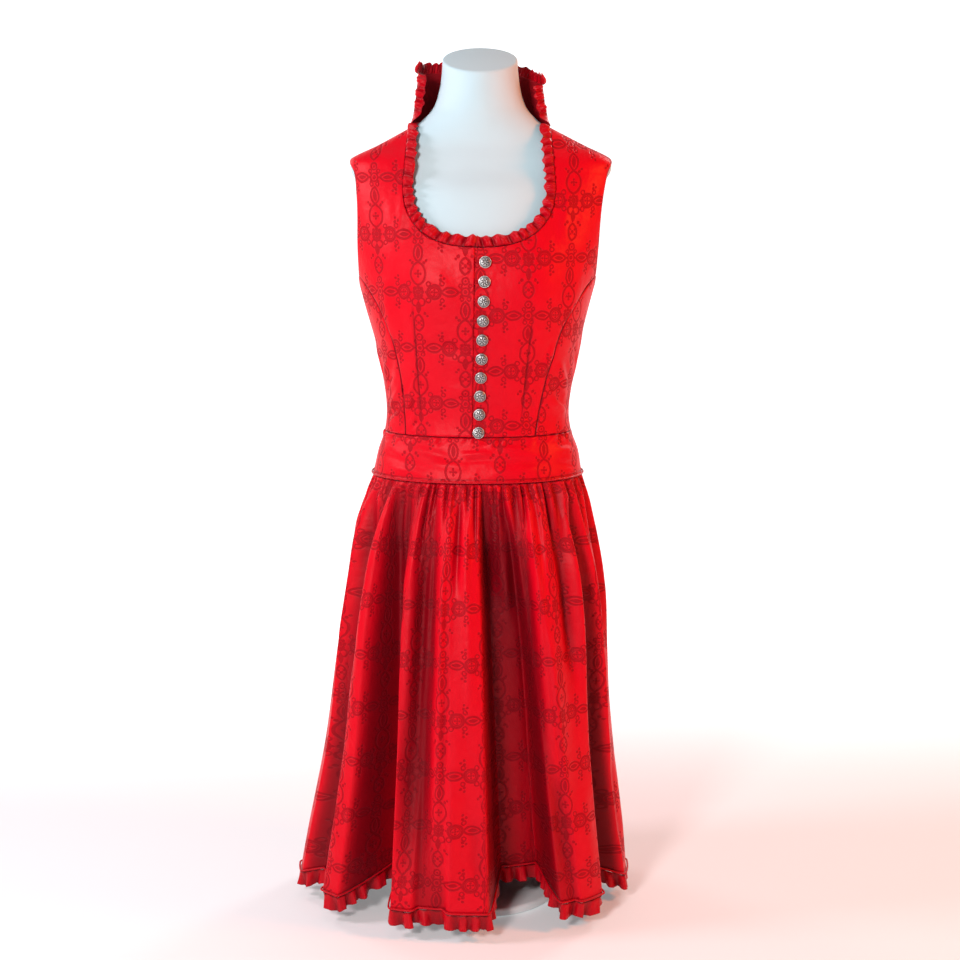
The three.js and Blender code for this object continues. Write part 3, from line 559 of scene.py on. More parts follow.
@dataclass
class Shell:
    """Closed thin wall of cloth between an outer and an inner grid of points, in millimetres."""

    name: str
    outer: Array
    inner: Array
    chart: Array  # cloth coordinates of the grid, in millimetres
    # On the skirt, frills and ruffle this also holds painted shade.
    seams: Array  # 1 on a stitched line, 0 away from it

    def build(self, face: bpy.types.Material, back: bpy.types.Material) -> bpy.types.Object:
        """Makes the mesh.

        Args:
            face: Material of the right side and the edges.
            back: Material of the wrong side.

        Returns:
            The new object, with the chart as a UV map and the stitched lines and painted shade as an
            attribute.
        """
        rows, columns = self.outer.shape[:2]
        index = np.arange(rows * columns).reshape(rows, columns)
        under = index + rows * columns
        top = quads(rows, columns, ring=False)
        below = top[:, ::-1] + rows * columns
        rims = []
        for line, low, turned in (
            (index[0], under[0], False),
            (index[-1], under[-1], True),
            (index[:, 0], under[:, 0], True),
            (index[:, -1], under[:, -1], False),
        ):
            rim = np.stack([line[:-1], low[:-1], low[1:], line[1:]], -1)
            rims.append(rim[:, ::-1] if turned else rim)
        faces = np.concatenate([top, below, *rims])
        material = np.zeros(len(faces), np.int32)
        material[len(top) : 2 * len(top)] = 1
        points = np.concatenate([self.outer.reshape(-1, 3), self.inner.reshape(-1, 3)])
        chart = np.tile(self.chart.reshape(-1, 2), (2, 1))
        seams = np.tile(self.seams.reshape(-1), 2)
        return make_mesh(self.name, points, faces, [face, back], material, chart, seams)


def make_mesh(
    name: str,
    points: Array,
    faces: Array,
    materials: Sequence[bpy.types.Material],
    material: Array | None = None,
    chart: Array | None = None,
    seams: Array | None = None,
) -> bpy.types.Object:
    """Makes an object from points in millimetres and faces of four corners.

    Args:
        name: Name of the object.
        points: Points, one row each.
        faces: Four point numbers a row; a triangle repeats its last one.
        materials: Materials of the object.
        material: Material number of each face.
        chart: Cloth coordinates of each point, in millimetres.
        seams: Strength of the stitched line and of any painted shade, or depth of the relief, at each point.

    Returns:
        The new object, riding on the part's only body.
    """
    mesh = bpy.data.meshes.new(name)
    faces = np.asarray(faces)
    sides = np.where(faces[:, 2] == faces[:, 3], 3, 4)
    corners = faces.reshape(-1)[(np.arange(4)[None] < sides[:, None]).reshape(-1)].astype(np.int32)
    mesh.vertices.add(len(points))
    mesh.vertices.foreach_set("co", (np.asarray(points) * MM).astype(np.float32).reshape(-1))
    mesh.loops.add(len(corners))
    mesh.loops.foreach_set("vertex_index", corners)
    mesh.polygons.add(len(faces))
    starts = np.concatenate([[0], np.cumsum(sides)[:-1]]).astype(np.int32)
    mesh.polygons.foreach_set("loop_start", starts)
    mesh.polygons.foreach_set("use_smooth", np.ones(len(faces), bool))
    if material is not None:
        mesh.polygons.foreach_set("material_index", material)
    mesh.update(calc_edges=True)
    if chart is not None:
        layer = mesh.uv_layers.new(name="cloth")
        layer.data.foreach_set("uv", chart[corners].astype(np.float32).reshape(-1))
    if seams is not None:
        marks = mesh.attributes.new("seam", "FLOAT", "POINT")
        marks.data.foreach_set("value", seams.astype(np.float32))
    mesh.validate()
    piece = bpy.data.objects.new(name, mesh)
    bpy.context.scene.collection.objects.link(piece)
    for finish in materials:
        mesh.materials.append(finish)
    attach(piece, "root")
    LOG.info("%s: %d faces", name, len(faces))
    return piece


def dress(piece: bpy.types.Object, node: str) -> bpy.types.Object:
    """Hides the imported part that a piece stands for."""
    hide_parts(node)
    return piece


def cloth_piece(
    node: str, base: Array, out: Array, rise: Array, chart: Array, seams: Array, finishes: "Finishes"
) -> bpy.types.Object:
    """Builds a piece of the jacquard, as thick as its wall, and dresses it.

    Args:
        node: Node that it replaces.
        base: Grid of points that its outside lies on without its relief.
        out: Outward direction at each point.
        rise: Relief at each point.
        chart: Cloth coordinates of each point, in millimetres.
        seams: 1 on a stitched line or in full painted shade, 0 away from it.
        finishes: Materials of the part.

    Returns:
        The piece.
    """
    outer = base + out * rise[..., None]
    shell = Shell(f"cloth_{node}", outer, outer - out * WALL, chart, np.clip(seams, 0, 1))
    return dress(shell.build(finishes.jacquard, finishes.wrong_side), node)


def side_seams(base: Array, width: float) -> Array:
    """How far a grid of cloth sinks into the seams at its two sides."""
    edge = lengths_along(base)
    return 0.9 * bell(edge, width) + 0.9 * bell(edge[:, -1:] - edge, width)


@dataclass(frozen=True)
class Cord:
    """Round cord of satin. step is how far its chart runs from one of its sides to the next."""

    radius: float
    sides: int
    step: float

    def mesh(self, points: Array, outs: Array, joined: bool) -> tuple[Array, Array]:
        """Points and faces of the cord.

        Args:
            points: Points that its middle follows.
            outs: Outward direction at each point.
            joined: Whether it is closed on itself.

        Returns:
            The points and the faces of its mesh.
        """
        if joined:
            along = unit(np.roll(points, -1, axis=0) - np.roll(points, 1, axis=0))
        else:
            along = unit(np.gradient(points, axis=0))
        out = unit(outs - along * np.sum(outs * along, axis=-1, keepdims=True))
        side = np.cross(along, out)
        turn = np.linspace(0, FULL_TURN, self.sides, endpoint=False)
        offset = np.cos(turn)[None, :, None] * out[:, None] + np.sin(turn)[None, :, None] * side[:, None]
        rings = (points[:, None] + self.radius * offset).reshape(-1, 3)
        if joined:
            return rings, quads(len(points), self.sides, loop=True)
        return rings, capped_tube(len(points), self.sides)

    def lay(
        self, node: str, surface: Surface, angle: Array, up: Array, off: float, satin: bpy.types.Material,
        joined: bool = False,
    ) -> None:
        """Builds the cord along places of a surface and dresses it.

        Args:
            node: Node that it replaces.
            surface: Surface that it lies on.
            angle: Angles of its places.
            up: Second number of each place.
            off: How far its middle stands off the surface.
            satin: Its material.
            joined: Whether it is closed on itself.
        """
        points = moved_out(surface, angle, up, off)
        mesh_points, faces = self.mesh(points, normals(surface, angle, up), joined)
        round_it = np.tile(np.arange(self.sides) * self.step, len(points))
        chart = np.stack([np.repeat(lengths_along(points), self.sides), round_it], -1)
        dress(make_mesh(f"satin_{node}", mesh_points, faces, [satin], chart=chart), node)


# --- Finishes -----------------------------------------------------------------------------------


def linear(colour: str) -> tuple[float, float, float, float]:
    """Linear colour of an sRGB hex value."""
    parts = [int(colour[i : i + 2], 16) / 255 for i in (1, 3, 5)]
    return (*(c / 12.92 if c <= 0.04045 else ((c + 0.055) / 1.055) ** 2.4 for c in parts), 1.0)


class Shader:
    """Material of one finish, with short ways to add its nodes. Each gives an output of the new node."""

    def __init__(self, name: str) -> None:
        """Empty material with nodes."""
        self.material = bpy.data.materials.new(name)
        self.material.use_nodes = True
        self.tree = self.material.node_tree
        self.tree.nodes.clear()

    def add(self, kind: str, inputs: dict[Any, Any] | None = None, output: Any = 0, **settings: Any) -> Any:
        """Adds a node, sets its properties and fills its inputs.

        Args:
            kind: Blender's name of the node, without its prefix.
            inputs: Value, or socket to link, for each input's name or number.
            output: Name or number of the output to give.
            settings: Properties of the node.

        Returns:
            The output's socket.
        """
        node = self.tree.nodes.new("ShaderNode" + kind)
        for name, value in settings.items():
            setattr(node, name, value)
        for key, value in (inputs or {}).items():
            if isinstance(value, bpy.types.NodeSocket):
                self.tree.links.new(value, node.inputs[key])
            else:
                node.inputs[key].default_value = value
        return node.outputs[output]

    def calc(self, operation: str, *values: Any) -> Any:
        """Result of a calculation with one to three values."""
        return self.add("Math", dict(enumerate(values)), operation=operation)

    def stacked(self, height: Any, *layers: tuple[Any, float]) -> Any:
        """Height with layers on it, each a noise and how high it reaches."""
        for noise, reach in layers:
            height = self.calc("MULTIPLY_ADD", noise, reach, height)
        return height

    def mixed(self, share: Any, low: Any, high: str) -> Any:
        """Colour a share of the way from low to high. Colours are sRGB hex values; low may be a socket."""
        low = linear(low) if isinstance(low, str) else low
        return self.add("Mix", {"Factor": share, "A": low, "B": linear(high)}, 2, data_type="RGBA")

    def ramp(self, value: Any, low: tuple[float, str], high: tuple[float, str]) -> Any:
        """Colour of a value on a ramp between two stops, each a place and an sRGB hex value."""
        colour = self.add("ValToRGB", {0: value})
        for element, (place, stop) in zip(colour.node.color_ramp.elements, (low, high)):
            element.position, element.color = place, linear(stop)
        return colour

    def noise(self, place: Any, scale: float, **inputs: float) -> Any:
        """Noise from 0 to 1."""
        return self.add("TexNoise", {"Vector": place, "Scale": scale, **inputs})

    def weave(self, chart: Any, spacing: float, **inputs: float) -> Any:
        """Diagonal threads of a satin, 0 between and 1 on them."""
        place = {"Vector": chart, "Scale": 1 / (2 * spacing), **inputs}
        return self.add("TexWave", place, "Fac", bands_direction="DIAGONAL")

    def bump(self, height: Any, strength: float, distance: float) -> Any:
        """Normal of a relief."""
        return self.add("Bump", {"Height": height, "Strength": strength, "Distance": distance})

    def finished(self, colour: Any, roughness: Any, **inputs: Any) -> bpy.types.Material:
        """The material, with a surface of this colour and roughness. Other inputs have _ for a space."""
        named = {key.replace("_", " "): value for key, value in inputs.items()}
        surface = self.add("BsdfPrincipled", {"Base Color": colour, "Roughness": roughness, **named})
        self.tree.links.new(surface, self.tree.nodes.new("ShaderNodeOutputMaterial").inputs[0])
        return self.material

    def satin(
        self, colour: Any, roughness: Any, height: Any, gloss: float, sheen: float
    ) -> bpy.types.Material:
        """The material of a satin, with its relief and a red sheen."""
        return self.finished(
            colour, roughness, Normal=self.bump(height, 0.6, MM), IOR=1.5, Specular_IOR_Level=gloss,
            Sheen_Weight=sheen, Sheen_Roughness=0.35, Sheen_Tint=linear("#ff3a40"),
        )


class Frame(Enum):
    """Where a motif of the damask stands: along a row, or in the column above or below a rosette."""

    ROW = "row"
    ABOVE = "above"
    BELOW = "below"


class Figure(Enum):
    """Shape of a motif: a filled disc, a ring, or a leaf, filled or in outline."""

    DISC = "disc"
    RING = "ring"
    LEAF = "leaf"
    LEAF_LINE = "leaf line"


@dataclass(frozen=True)
class Motif:
    """One motif of the damask, mirrored by the repeat. Sizes in millimetres; line is half a line's width."""

    frame: Frame
    figure: Figure
    x: float
    y: float
    radius: float
    line: float = 0.55
    spread: tuple[float, float] = (0.0, 0.0)  # from a leaf's middle to the centres of its two sides


def motif_set(frame_name: Frame, figure: Figure, *rows: tuple[Any, ...]) -> list[Motif]:
    """Motifs of one shape in one place, from rows of x, y, radius, line and spread."""
    return [Motif(frame_name, figure, *row) for row in rows]


# Rosettes stand at 0 and knots at 63 mm along a row. Rows are 75 mm apart, every other one half a repeat
# aside.
MOTIFS = (
    *motif_set(
        Frame.ROW, Figure.DISC,
        (0, 0, 3.6), (6.0, 0, 2.5), (0, 6.2, 2.5), (4.6, 4.6, 2.5), (11.2, 0, 1.7), (22, 0, 1.7),
        (25.3, 0, 1.4), (18.7, 0, 1.4), (22, 3.3, 1.4), (56.4, 0, 1.5), (63, 0, 2.6), (57.6, 5.6, 1.9),
        (30.6, 16.0, 2.0), (35.2, 17.8, 1.8), (30.8, 21.2, 1.8),
    ),
    *motif_set(
        Frame.ROW, Figure.RING,
        (22, 0, 8.9, 1.67), (22, 0, 6.0, 0.72), (63, 0, 5.4, 1.01), (14.2, 10.8, 2.9, 0.87),
        (32.4, 11.0, 2.7, 0.87),
    ),
    *motif_set(
        Frame.ROW, Figure.LEAF_LINE,
        (43, 0, 13.8, 1.38, (0, 8.2)),
    ),
    *motif_set(
        Frame.ROW, Figure.LEAF,
        (43.5, 0, 10.7, 0.55, (0, 8.2)),
    ),
    *motif_set(
        Frame.ABOVE, Figure.RING,
        (-6, 24, 16.2, 1.38), (-7, 51, 13.2, 1.3), (4.6, 66, 2.4, 0.8),
    ),
    *motif_set(
        Frame.ABOVE, Figure.DISC,
        (0, 24, 2.0), (3.5, 24, 1.6), (0, 27.8, 1.6), (0, 20.2, 1.6), (8.2, 38.4, 2.1), (11.4, 41.6, 1.7),
    ),
    *motif_set(
        Frame.ABOVE, Figure.LEAF,
        (0, 51, 12.8, 0.55, (10.0, 0)),
    ),
    *motif_set(
        Frame.BELOW, Figure.RING,
        (4.2, 113, 5.0, 1.23), (-5, 141, 12.0, 1.38), (0, 160.5, 4.2, 1.09), (6.4, 166.5, 2.2, 0.8),
    ),
    *motif_set(
        Frame.BELOW, Figure.LEAF,
        (0, 120, 10.6, 0.55, (6.6, 0)),
    ),
    *motif_set(
        Frame.BELOW, Figure.DISC,
        (0, 141, 2.2), (3.7, 144, 1.5), (3.7, 138, 1.5), (9.0, 128.2, 2.1), (12.2, 131.6, 1.7),
        (0, 160.5, 1.4),
    ),
)


@dataclass(frozen=True)
class Damask:
    """Repeat of the jacquard's figure, charted as a list of motifs."""

    half_repeat: float = 63.0
    row: float = 75.0
    below_start: float = 100.0  # the column below a rosette is charted from here
    softness: float = 0.45
    motifs: tuple[Motif, ...] = MOTIFS

    def frames(self, shader: Shader, chart: Any) -> dict[Frame, Any]:
        """Folds cloth coordinates onto the charted quarter of the repeat.

        Args:
            shader: Material that it works in.
            chart: Socket with the cloth coordinates in millimetres.

        Returns:
            The folded coordinates for each frame; above and below share one.
        """
        calc = shader.calc
        x, y, _ = shader.add("SeparateXYZ", {0: chart}).node.outputs
        turn = calc("FLOORED_MODULO", y, 2 * self.row)
        aside = calc("MULTIPLY", calc("GREATER_THAN", turn, self.row), self.half_repeat)
        column = calc("ABSOLUTE", calc("SUBTRACT", calc("PINGPONG", x, self.half_repeat), aside))
        height = calc("FLOORED_MODULO", turn, self.row)
        sizes = ((column, self.half_repeat), (height, self.row))
        places = {}
        for frame_name, (measured, size) in ((Frame.ROW, sizes[1]), (Frame.ABOVE, sizes[0])):
            past = calc("GREATER_THAN", measured, 0.5 * size)
            ends = []
            for end, back in sizes:
                ends.append(calc("ABSOLUTE", calc("SUBTRACT", end, calc("MULTIPLY", past, back))))
            if frame_name is Frame.ABOVE:
                ends[1] = calc("MULTIPLY_ADD", past, self.below_start, ends[1])
            places[frame_name] = shader.add("CombineXYZ", dict(enumerate(ends)))
        places[Frame.BELOW] = places[Frame.ABOVE]
        return places

    def mask(self, shader: Shader, chart: Any) -> Any:
        """Socket that is 1 on the figure and 0 on the ground.

        Args:
            shader: Material that it works in.
            chart: Socket with the cloth coordinates in millimetres.

        Returns:
            The mask's socket.
        """
        places = self.frames(shader, chart)
        nearest = None
        for motif in self.motifs:
            rims = []
            for sign in (1, -1) if any(motif.spread) else (1,):
                centre = (motif.x + sign * motif.spread[0], motif.y + sign * motif.spread[1], 0)
                ends = {0: places[motif.frame], 1: centre}
                reach = shader.add("VectorMath", ends, "Value", operation="DISTANCE")
                rims.append(shader.calc("SUBTRACT", reach, motif.radius))
            edge = shader.calc("MAXIMUM", *rims) if len(rims) == 2 else rims[0]
            if motif.figure in (Figure.RING, Figure.LEAF_LINE):
                edge = shader.calc("SUBTRACT", shader.calc("ABSOLUTE", edge), motif.line)
            nearest = edge if nearest is None else shader.calc("MINIMUM", nearest, edge)
        limits = {0: nearest, 1: self.softness, 2: -self.softness, 3: 0.0, 4: 1.0}
        return shader.add("MapRange", limits, interpolation_type="SMOOTHSTEP")


@dataclass(frozen=True)
class SatinJacquard:
    """Satin jacquard, woven: a glossy warp-faced ground with a duller weft-faced figure, sunk in a little."""

    name: str = "satin_jacquard"
    ground: str = "#c80019"
    ground_worn: str = "#d2041c"
    figure: str = "#a20014"
    # Painted shadow colour: in the stitched lines and, on the skirt, between its folds.
    painted_shadow: str = "#5e0410"  # shadow in the stitched lines
    ground_roughness: float = 0.42
    figure_roughness: float = 0.6
    figure_depth: float = 0.7  # millimetres
    # A satin's threads lie about 0.1 mm apart; they are drawn 1.1 mm apart so that they show.
    thread_spacing: float = 1.1
    rumple: float = 26.0  # size of the cloth's faint unevenness
    drift: float = 9.0  # size of the figure's unevenness
    sway: float = 2.4  # how far it moves the figure, in all
    damask: Damask = Damask()

    def build(self) -> bpy.types.Material:
        """Material of the cloth's right side."""
        shader = Shader(self.name)
        chart = shader.add("UVMap", uv_map="cloth")
        drift = shader.noise(chart, 1 / self.drift, Detail=2.0)
        colour = drift.node.outputs["Color"]
        swing = shader.add("VectorMath", {0: colour, 1: (0.5, 0.5, 0.5)}, operation="SUBTRACT")
        swing = shader.add("VectorMath", {0: swing, "Scale": self.sway}, operation="SCALE")
        mask = self.damask.mask(shader, shader.add("VectorMath", {0: chart, 1: swing}, operation="ADD"))
        cloud = shader.noise(chart, 1 / self.rumple, Detail=4.0)
        seam = shader.add("Attribute", output="Fac", attribute_name="seam")
        figured = shader.mixed(mask, shader.mixed(cloud, self.ground, self.ground_worn), self.figure)
        rough = shader.add("MapRange", {0: mask, 3: self.ground_roughness, 4: self.figure_roughness})
        weave = shader.weave(chart, self.thread_spacing, Distortion=0.6, Detail=1.0)
        sunk = shader.calc("MULTIPLY", mask, -self.figure_depth)
        relief = shader.stacked(sunk, (weave, 0.05), (drift, 0.9), (cloud, 2.6))
        # The seam attribute mixes in the painted shadow: on stitched lines and, on the skirt, between its
        # folds.
        return shader.satin(shader.mixed(seam, figured, self.painted_shadow), rough, relief, 0.13, 0.05)


@dataclass(frozen=True)
class PlainSatin:
    """Plain woven satin without a figure: the ruched and piped trims, and the cloth's duller wrong side."""

    name: str
    colour: str
    worn: str
    roughness: float
    sheen: float = 0.05
    thread_spacing: float = 1.1  # coarser than real thread, so that it shows
    rumple: float = 7.0
    shadow: str = "#4a030c"

    def build(self) -> bpy.types.Material:
        """Material of the trim."""
        shader = Shader(self.name)
        chart = shader.add("UVMap", uv_map="cloth")
        cloud = shader.noise(chart, 1 / self.rumple, Detail=3.0)
        seam = shader.add("Attribute", output="Fac", attribute_name="seam")
        # The seam attribute mixes in painted shadow: along sewn edges and in the troughs between puffs and
        # pleats.
        colour = shader.mixed(seam, shader.mixed(cloud, self.colour, self.worn), self.shadow)
        weave = shader.weave(chart, self.thread_spacing, Distortion=0.8)
        relief = shader.stacked(shader.calc("MULTIPLY", cloud, 1.2), (weave, 0.06))
        return shader.satin(colour, self.roughness, relief, 0.17, self.sheen)


@dataclass(frozen=True)
class AntiquedPewter:
    """Cast pewter, blackened and rubbed back: bright on the raised relief, dark grey in its hollows."""

    name: str = "antiqued_pewter"
    raised: str = "#c3c6c6"
    hollow: str = "#3b3d3d"
    pits: float = 900.0  # in a metre

    def build(self) -> bpy.types.Material:
        """Material of the buttons; the attribute is the depth of the relief."""
        shader = Shader(self.name)
        depth = shader.add("Attribute", output="Fac", attribute_name="seam")
        pits = shader.noise(shader.add("TexCoord", output="Object"), self.pits, Detail=3.0)
        dirt = shader.stacked(depth, (pits, 0.35))
        colour = shader.ramp(dirt, (0.15, self.raised), (0.85, self.hollow))
        rough = shader.add("MapRange", {0: dirt, 3: 0.3, 4: 0.65})
        return shader.finished(colour, rough, Normal=shader.bump(pits, 0.25, 0.2 * MM), Metallic=1.0)


@dataclass(frozen=True)
class HardFinish:
    """Moulded, brushed or enamelled hard surface with a fine grain in its gloss and relief."""

    name: str
    colour: str
    shaded: str
    roughness: float
    metallic: float = 0.0
    grain: float = 2.0  # millimetres
    stretch: tuple[float, float, float] = (1.0, 1.0, 1.0)
    relief: float = 0.08  # millimetres

    unevenness: float = 9.0  # of the colour, in a metre

    def build(self) -> bpy.types.Material:
        """Material of the hard surface."""
        shader = Shader(self.name)
        place = shader.add("TexCoord", output="Object")
        mapped = shader.add("Mapping", {"Vector": place, "Scale": self.stretch})
        grain = shader.noise(mapped, 1 / (self.grain * MM), Detail=4.0)
        colour = shader.mixed(shader.noise(place, self.unevenness), self.colour, self.shaded)
        rough = shader.add("MapRange", {0: grain, 3: self.roughness - 0.06, 4: self.roughness + 0.06})
        bump = shader.bump(grain, 0.4, self.relief * MM)
        return shader.finished(colour, rough, Normal=bump, Metallic=self.metallic)


@dataclass(frozen=True)
class LitPaper:
    """White seamless paper that glows as painted light, faintly near the dress and brightly from a metre
    behind it on.
    """

    name: str = "seamless_paper"
    colour: str = "#d6d9da"
    glow: float = 1.35
    near_glow: float = 0.32
    near: float = 0.25  # metres behind the dress
    far: float = 1.5

    def build(self) -> bpy.types.Material:
        """Material of the floor and backdrop."""
        shader = Shader(self.name)
        depth = shader.add("SeparateXYZ", {0: shader.add("TexCoord", output="Object")}, 1)
        limits = {0: depth, 1: self.near, 2: self.far, 3: self.near_glow, 4: self.glow}
        light = shader.add("MapRange", limits, interpolation_type="SMOOTHSTEP")
        colour = linear(self.colour)
        return shader.finished(
            colour, 0.9, Specular_IOR_Level=0.1, Emission_Color=colour, Emission_Strength=light
        )


@dataclass
class Finishes:
    """Every material of the part."""

    def __post_init__(self) -> None:
        """Builds them."""
        self.jacquard = SatinJacquard().build()
        self.wrong_side = PlainSatin("jacquard_wrong_side", "#900c1a", "#9e121e", 0.62, sheen=0.1).build()
        self.satin = PlainSatin("ruched_satin", "#b00016", "#c00419", 0.4).build()
        self.pewter = AntiquedPewter().build()
        # Moulded glass fibre shell under matt lacquer: bluish white, hardly any gloss.
        shell = HardFinish("matt_lacquered_shell", "#bedde4", "#b6d6de", 0.72, grain=1.5, relief=0.05)
        # Ground steel tube: fine rings round it stretch its highlights.
        steel = HardFinish("brushed_steel", "#b9bdc0", "#aeb3b6", 0.34, 1.0, 1.2, (0.1, 0.1, 1.0), 0.03)
        # Stove enamel on a turned steel plate: white, even and softly glossy.
        enamel = HardFinish("white_enamel", "#e9ecec", "#e2e6e6", 0.38, grain=4.0, relief=0.04)
        self.shell, self.steel, self.enamel = shell.build(), steel.build(), enamel.build()


# --- Bodice -------------------------------------------------------------------------------------


def seam_angle(z: Array, towards: int) -> Array:
    """Angle of the side seam, half a gap to the front (-1) or back (1) of it."""
    return RIGHT_ANGLE + (towards * SEAM) / 2 / BODY_SECTIONS.at(np.asarray(z, float))[..., 0]


@dataclass
class Bodice:
    """Two fronts, two side fronts and a back, sewn with princess seams and darts, closed down the front."""

    finishes: Finishes
    neck_middle: float = -1.0
    neck_bottom: float = 930.0
    neck_half_width: float = 102.0
    neck_height: float = 85.0
    neck_square: float = 2.5
    neck_top_half_width: float = 96.0
    overlap_top_x: float = -7.0
    overlap_bottom_x: float = -11.0
    overlap_tuck: float = 10.0
    overlap_lift: float = 2.6
    overlap_ramp: float = 46.0
    armhole_front: float = 46.0
    armhole_back: float = 50.0
    princess_share: float = 0.2
    groove_depth: float = 1.1
    groove_width: float = 1.9
    seam_radius: float = 110.0  # distance from the middle at which gaps are turned into angles

    def __post_init__(self) -> None:
        """Measures the cloth."""
        self.lengths = ClothLengths(BODY.point, 580, 1100, 106, 541)

    def overlap_x(self, z: Array) -> Array:
        """x of the overlap's edge at each height."""
        t = (z - BAND_TOP) / (self.neck_bottom - BAND_TOP)
        return lerp(self.overlap_bottom_x, self.overlap_top_x, t)

    def lift(self, angle: Array, z: Array) -> Array:
        """How far the right front stands off the body surface, where it runs over the left one."""
        distance = self.overlap_x(z) - BODY.point(angle, z)[..., 0]
        return self.overlap_lift * ease(1 - distance / self.overlap_ramp)

    def neckline(self, side: int, start_x: float) -> Edge:
        """Neckline's edge from centre front (0) round the curve and up to the neck point (1)."""
        curve_share = 0.5
        start_reach = side * (start_x - self.neck_middle) / self.neck_half_width
        start_turn = math.copysign(math.asin(abs(start_reach) ** (self.neck_square / 2)), start_reach)

        def edge(t: Array) -> Array:
            t = np.asarray(t, float)
            on_straight = 1 - (1 - np.maximum(0, (t - curve_share) / (1 - curve_share))) ** 2
            turn = lerp(start_turn, RIGHT_ANGLE, np.minimum(1, t / curve_share))
            reach = lerp(self.neck_half_width, self.neck_top_half_width, on_straight)
            level = np.maximum(np.cos(turn), 0) ** (2 / self.neck_square)
            z = lerp(self.neck_bottom + self.neck_height * (1 - level), NECK_POINT, on_straight)
            swing = np.sign(turn) * np.abs(np.sin(turn)) ** (2 / self.neck_square)
            x = self.neck_middle + side * reach * swing
            last = side * seam_angle(np.full(t.shape, NECK_POINT), -1)
            return pairs(np.where(on_straight >= 1, last, BODY.angle_at_x(x, z)), z)

        return edge

    def front_neckline(self, side: int) -> Edge:
        """Neckline of one front, which starts at its own edge. The left one runs on under the right one."""
        tuck = 0.0 if side < 0 else self.overlap_tuck
        return self.neckline(side, float(self.overlap_x(np.array(self.neck_bottom))) - tuck)

    def armhole(self, side: int, towards: int) -> Edge:
        """Armhole's edge from the underarm (0) to the shoulder tip (1), on the front (-1) or the back (1)."""
        depth = -self.armhole_front if towards < 0 else self.armhole_back

        def edge(t: Array) -> Array:
            t = np.asarray(t, float)
            turn = math.pi * t
            z = lerp(UNDERARM, SHOULDER_TIP, (1 - np.cos(turn)) / 2)
            y = depth * np.clip(np.sin(turn), 0, 1) ** 0.9
            y = np.where(np.abs(y) < SEAM, math.copysign(SEAM / 2, depth), y)
            ends = (t <= 0) | (t >= 1)
            angle = np.where(ends, side * seam_angle(z, towards), BODY.angle_at_y(y, z, side))
            if towards > 0 and side < 0:
                angle = np.where(angle < 0, angle + FULL_TURN, angle)
            return pairs(angle, z)

        return edge

    def princess(self, side: int, gap_side: int) -> Edge:
        """Princess seam from the waistband (0) to the armhole (1), with half the seam's gap."""
        top_angle, top_z = self.armhole(side, -1)(np.array(self.princess_share))
        top_x = BODY.point(top_angle, top_z)[0]
        bottom_x, middle_x = (-102.0, -107.0) if side < 0 else (75.0, 92.0)

        def edge(t: Array) -> Array:
            t = np.asarray(t, float)
            z = lerp(BAND_TOP + SEAM, top_z, t)
            x = lerp(lerp(bottom_x, middle_x, np.minimum(1, 2 * t)), top_x, t**3.2)
            gap = side * gap_side * SEAM / 2
            return pairs(np.where(t >= 1, top_angle + gap / self.seam_radius, BODY.angle_at_x(x + gap, z)), z)

        return edge

    def panel(
        self,
        node: str,
        grid: Array,
        creases: Sequence[Crease],
        origin: tuple[float, float],
        cut: tuple[float, float, float],
        grooves: tuple[bool, bool] = (False, False),
        darts: Sequence[Crease] = (),
        lift: Callable[[Array, Array], Array] | None = None,
        sideways: bool = False,
    ) -> None:
        """Builds one panel on the body surface and dresses it.

        Args:
            node: Node that it replaces.
            grid: Pairs of angle and height.
            creases: Its creases, in x and z, or y and z on a side panel.
            origin: Where a rosette of the damask stands, in lengths from the front and height.
            cut: Width, length and area it is cut to, in metres; not used.
            grooves: Whether its left and its right edge sink into a stitched seam.
            darts: Stitched darts, in x and z.
            lift: How far it stands off the body surface.
            sideways: Whether its creases are placed by y.
        """
        angle, z = grid[..., 0], grid[..., 1]
        base = BODY.point(angle, z)
        out = normals(BODY.point, angle, z)
        frame_x = base[..., 1] if sideways else base[..., 0]
        rise = relief_of(creases, frame_x, z)
        seams = np.zeros(z.shape)
        from_left = lengths_along(base)
        for used, distance in zip(grooves, (from_left, from_left[:, -1:] - from_left)):
            if used:
                rise -= self.groove_depth * bell(distance, self.groove_width)
                seams = np.maximum(seams, bell(distance, 0.9))
        for dart in darts:
            mark = Crease(dart.start, dart.end, dart.width, 1.0, dart.bow).relief(frame_x, z)
            rise += dart.depth * np.maximum(mark, 0)
            seams = np.maximum(seams, np.clip(mark, 0, 1) ** 2)
        if lift is not None:
            rise += lift(angle, z)
        chart = np.stack([self.lengths.across(angle, z) - origin[0], z - origin[1]], -1)
        piece = cloth_piece(node, base, out, rise, chart, seams, self.finishes)

    def front(self, side: int) -> Array:
        """Grid of a front, between centre front, neckline, shoulder, armhole and princess seam."""
        start = BAND_TOP + SEAM
        tuck = 0.0 if side < 0 else self.overlap_tuck
        neckline = self.front_neckline(side)
        first_z = neckline(np.array(0.0))[1]

        def centre(t: Array) -> Array:
            z = lerp(start, first_z, np.asarray(t, float))
            return pairs(BODY.angle_at_x(self.overlap_x(z) - tuck, z), z)

        inner = chained(0.5, centre, neckline)
        armhole = self.armhole(side, -1)
        outer = chained(0.5, self.princess(side, -1), lambda t: armhole(lerp(self.princess_share, 1, t)))
        left, right = (outer, inner) if side < 0 else (inner, outer)
        return patch(left, right, 80, np.linspace(0, 1, 161))

    def side_front(self, side: int) -> Array:
        """Grid of a side front, between princess seam, side seam and the foot of the armhole."""
        inner = self.princess(side, 1)

        def outer(t: Array) -> Array:
            z = lerp(BAND_TOP + SEAM, UNDERARM, np.asarray(t, float))
            return pairs(side * seam_angle(z, -1), z)

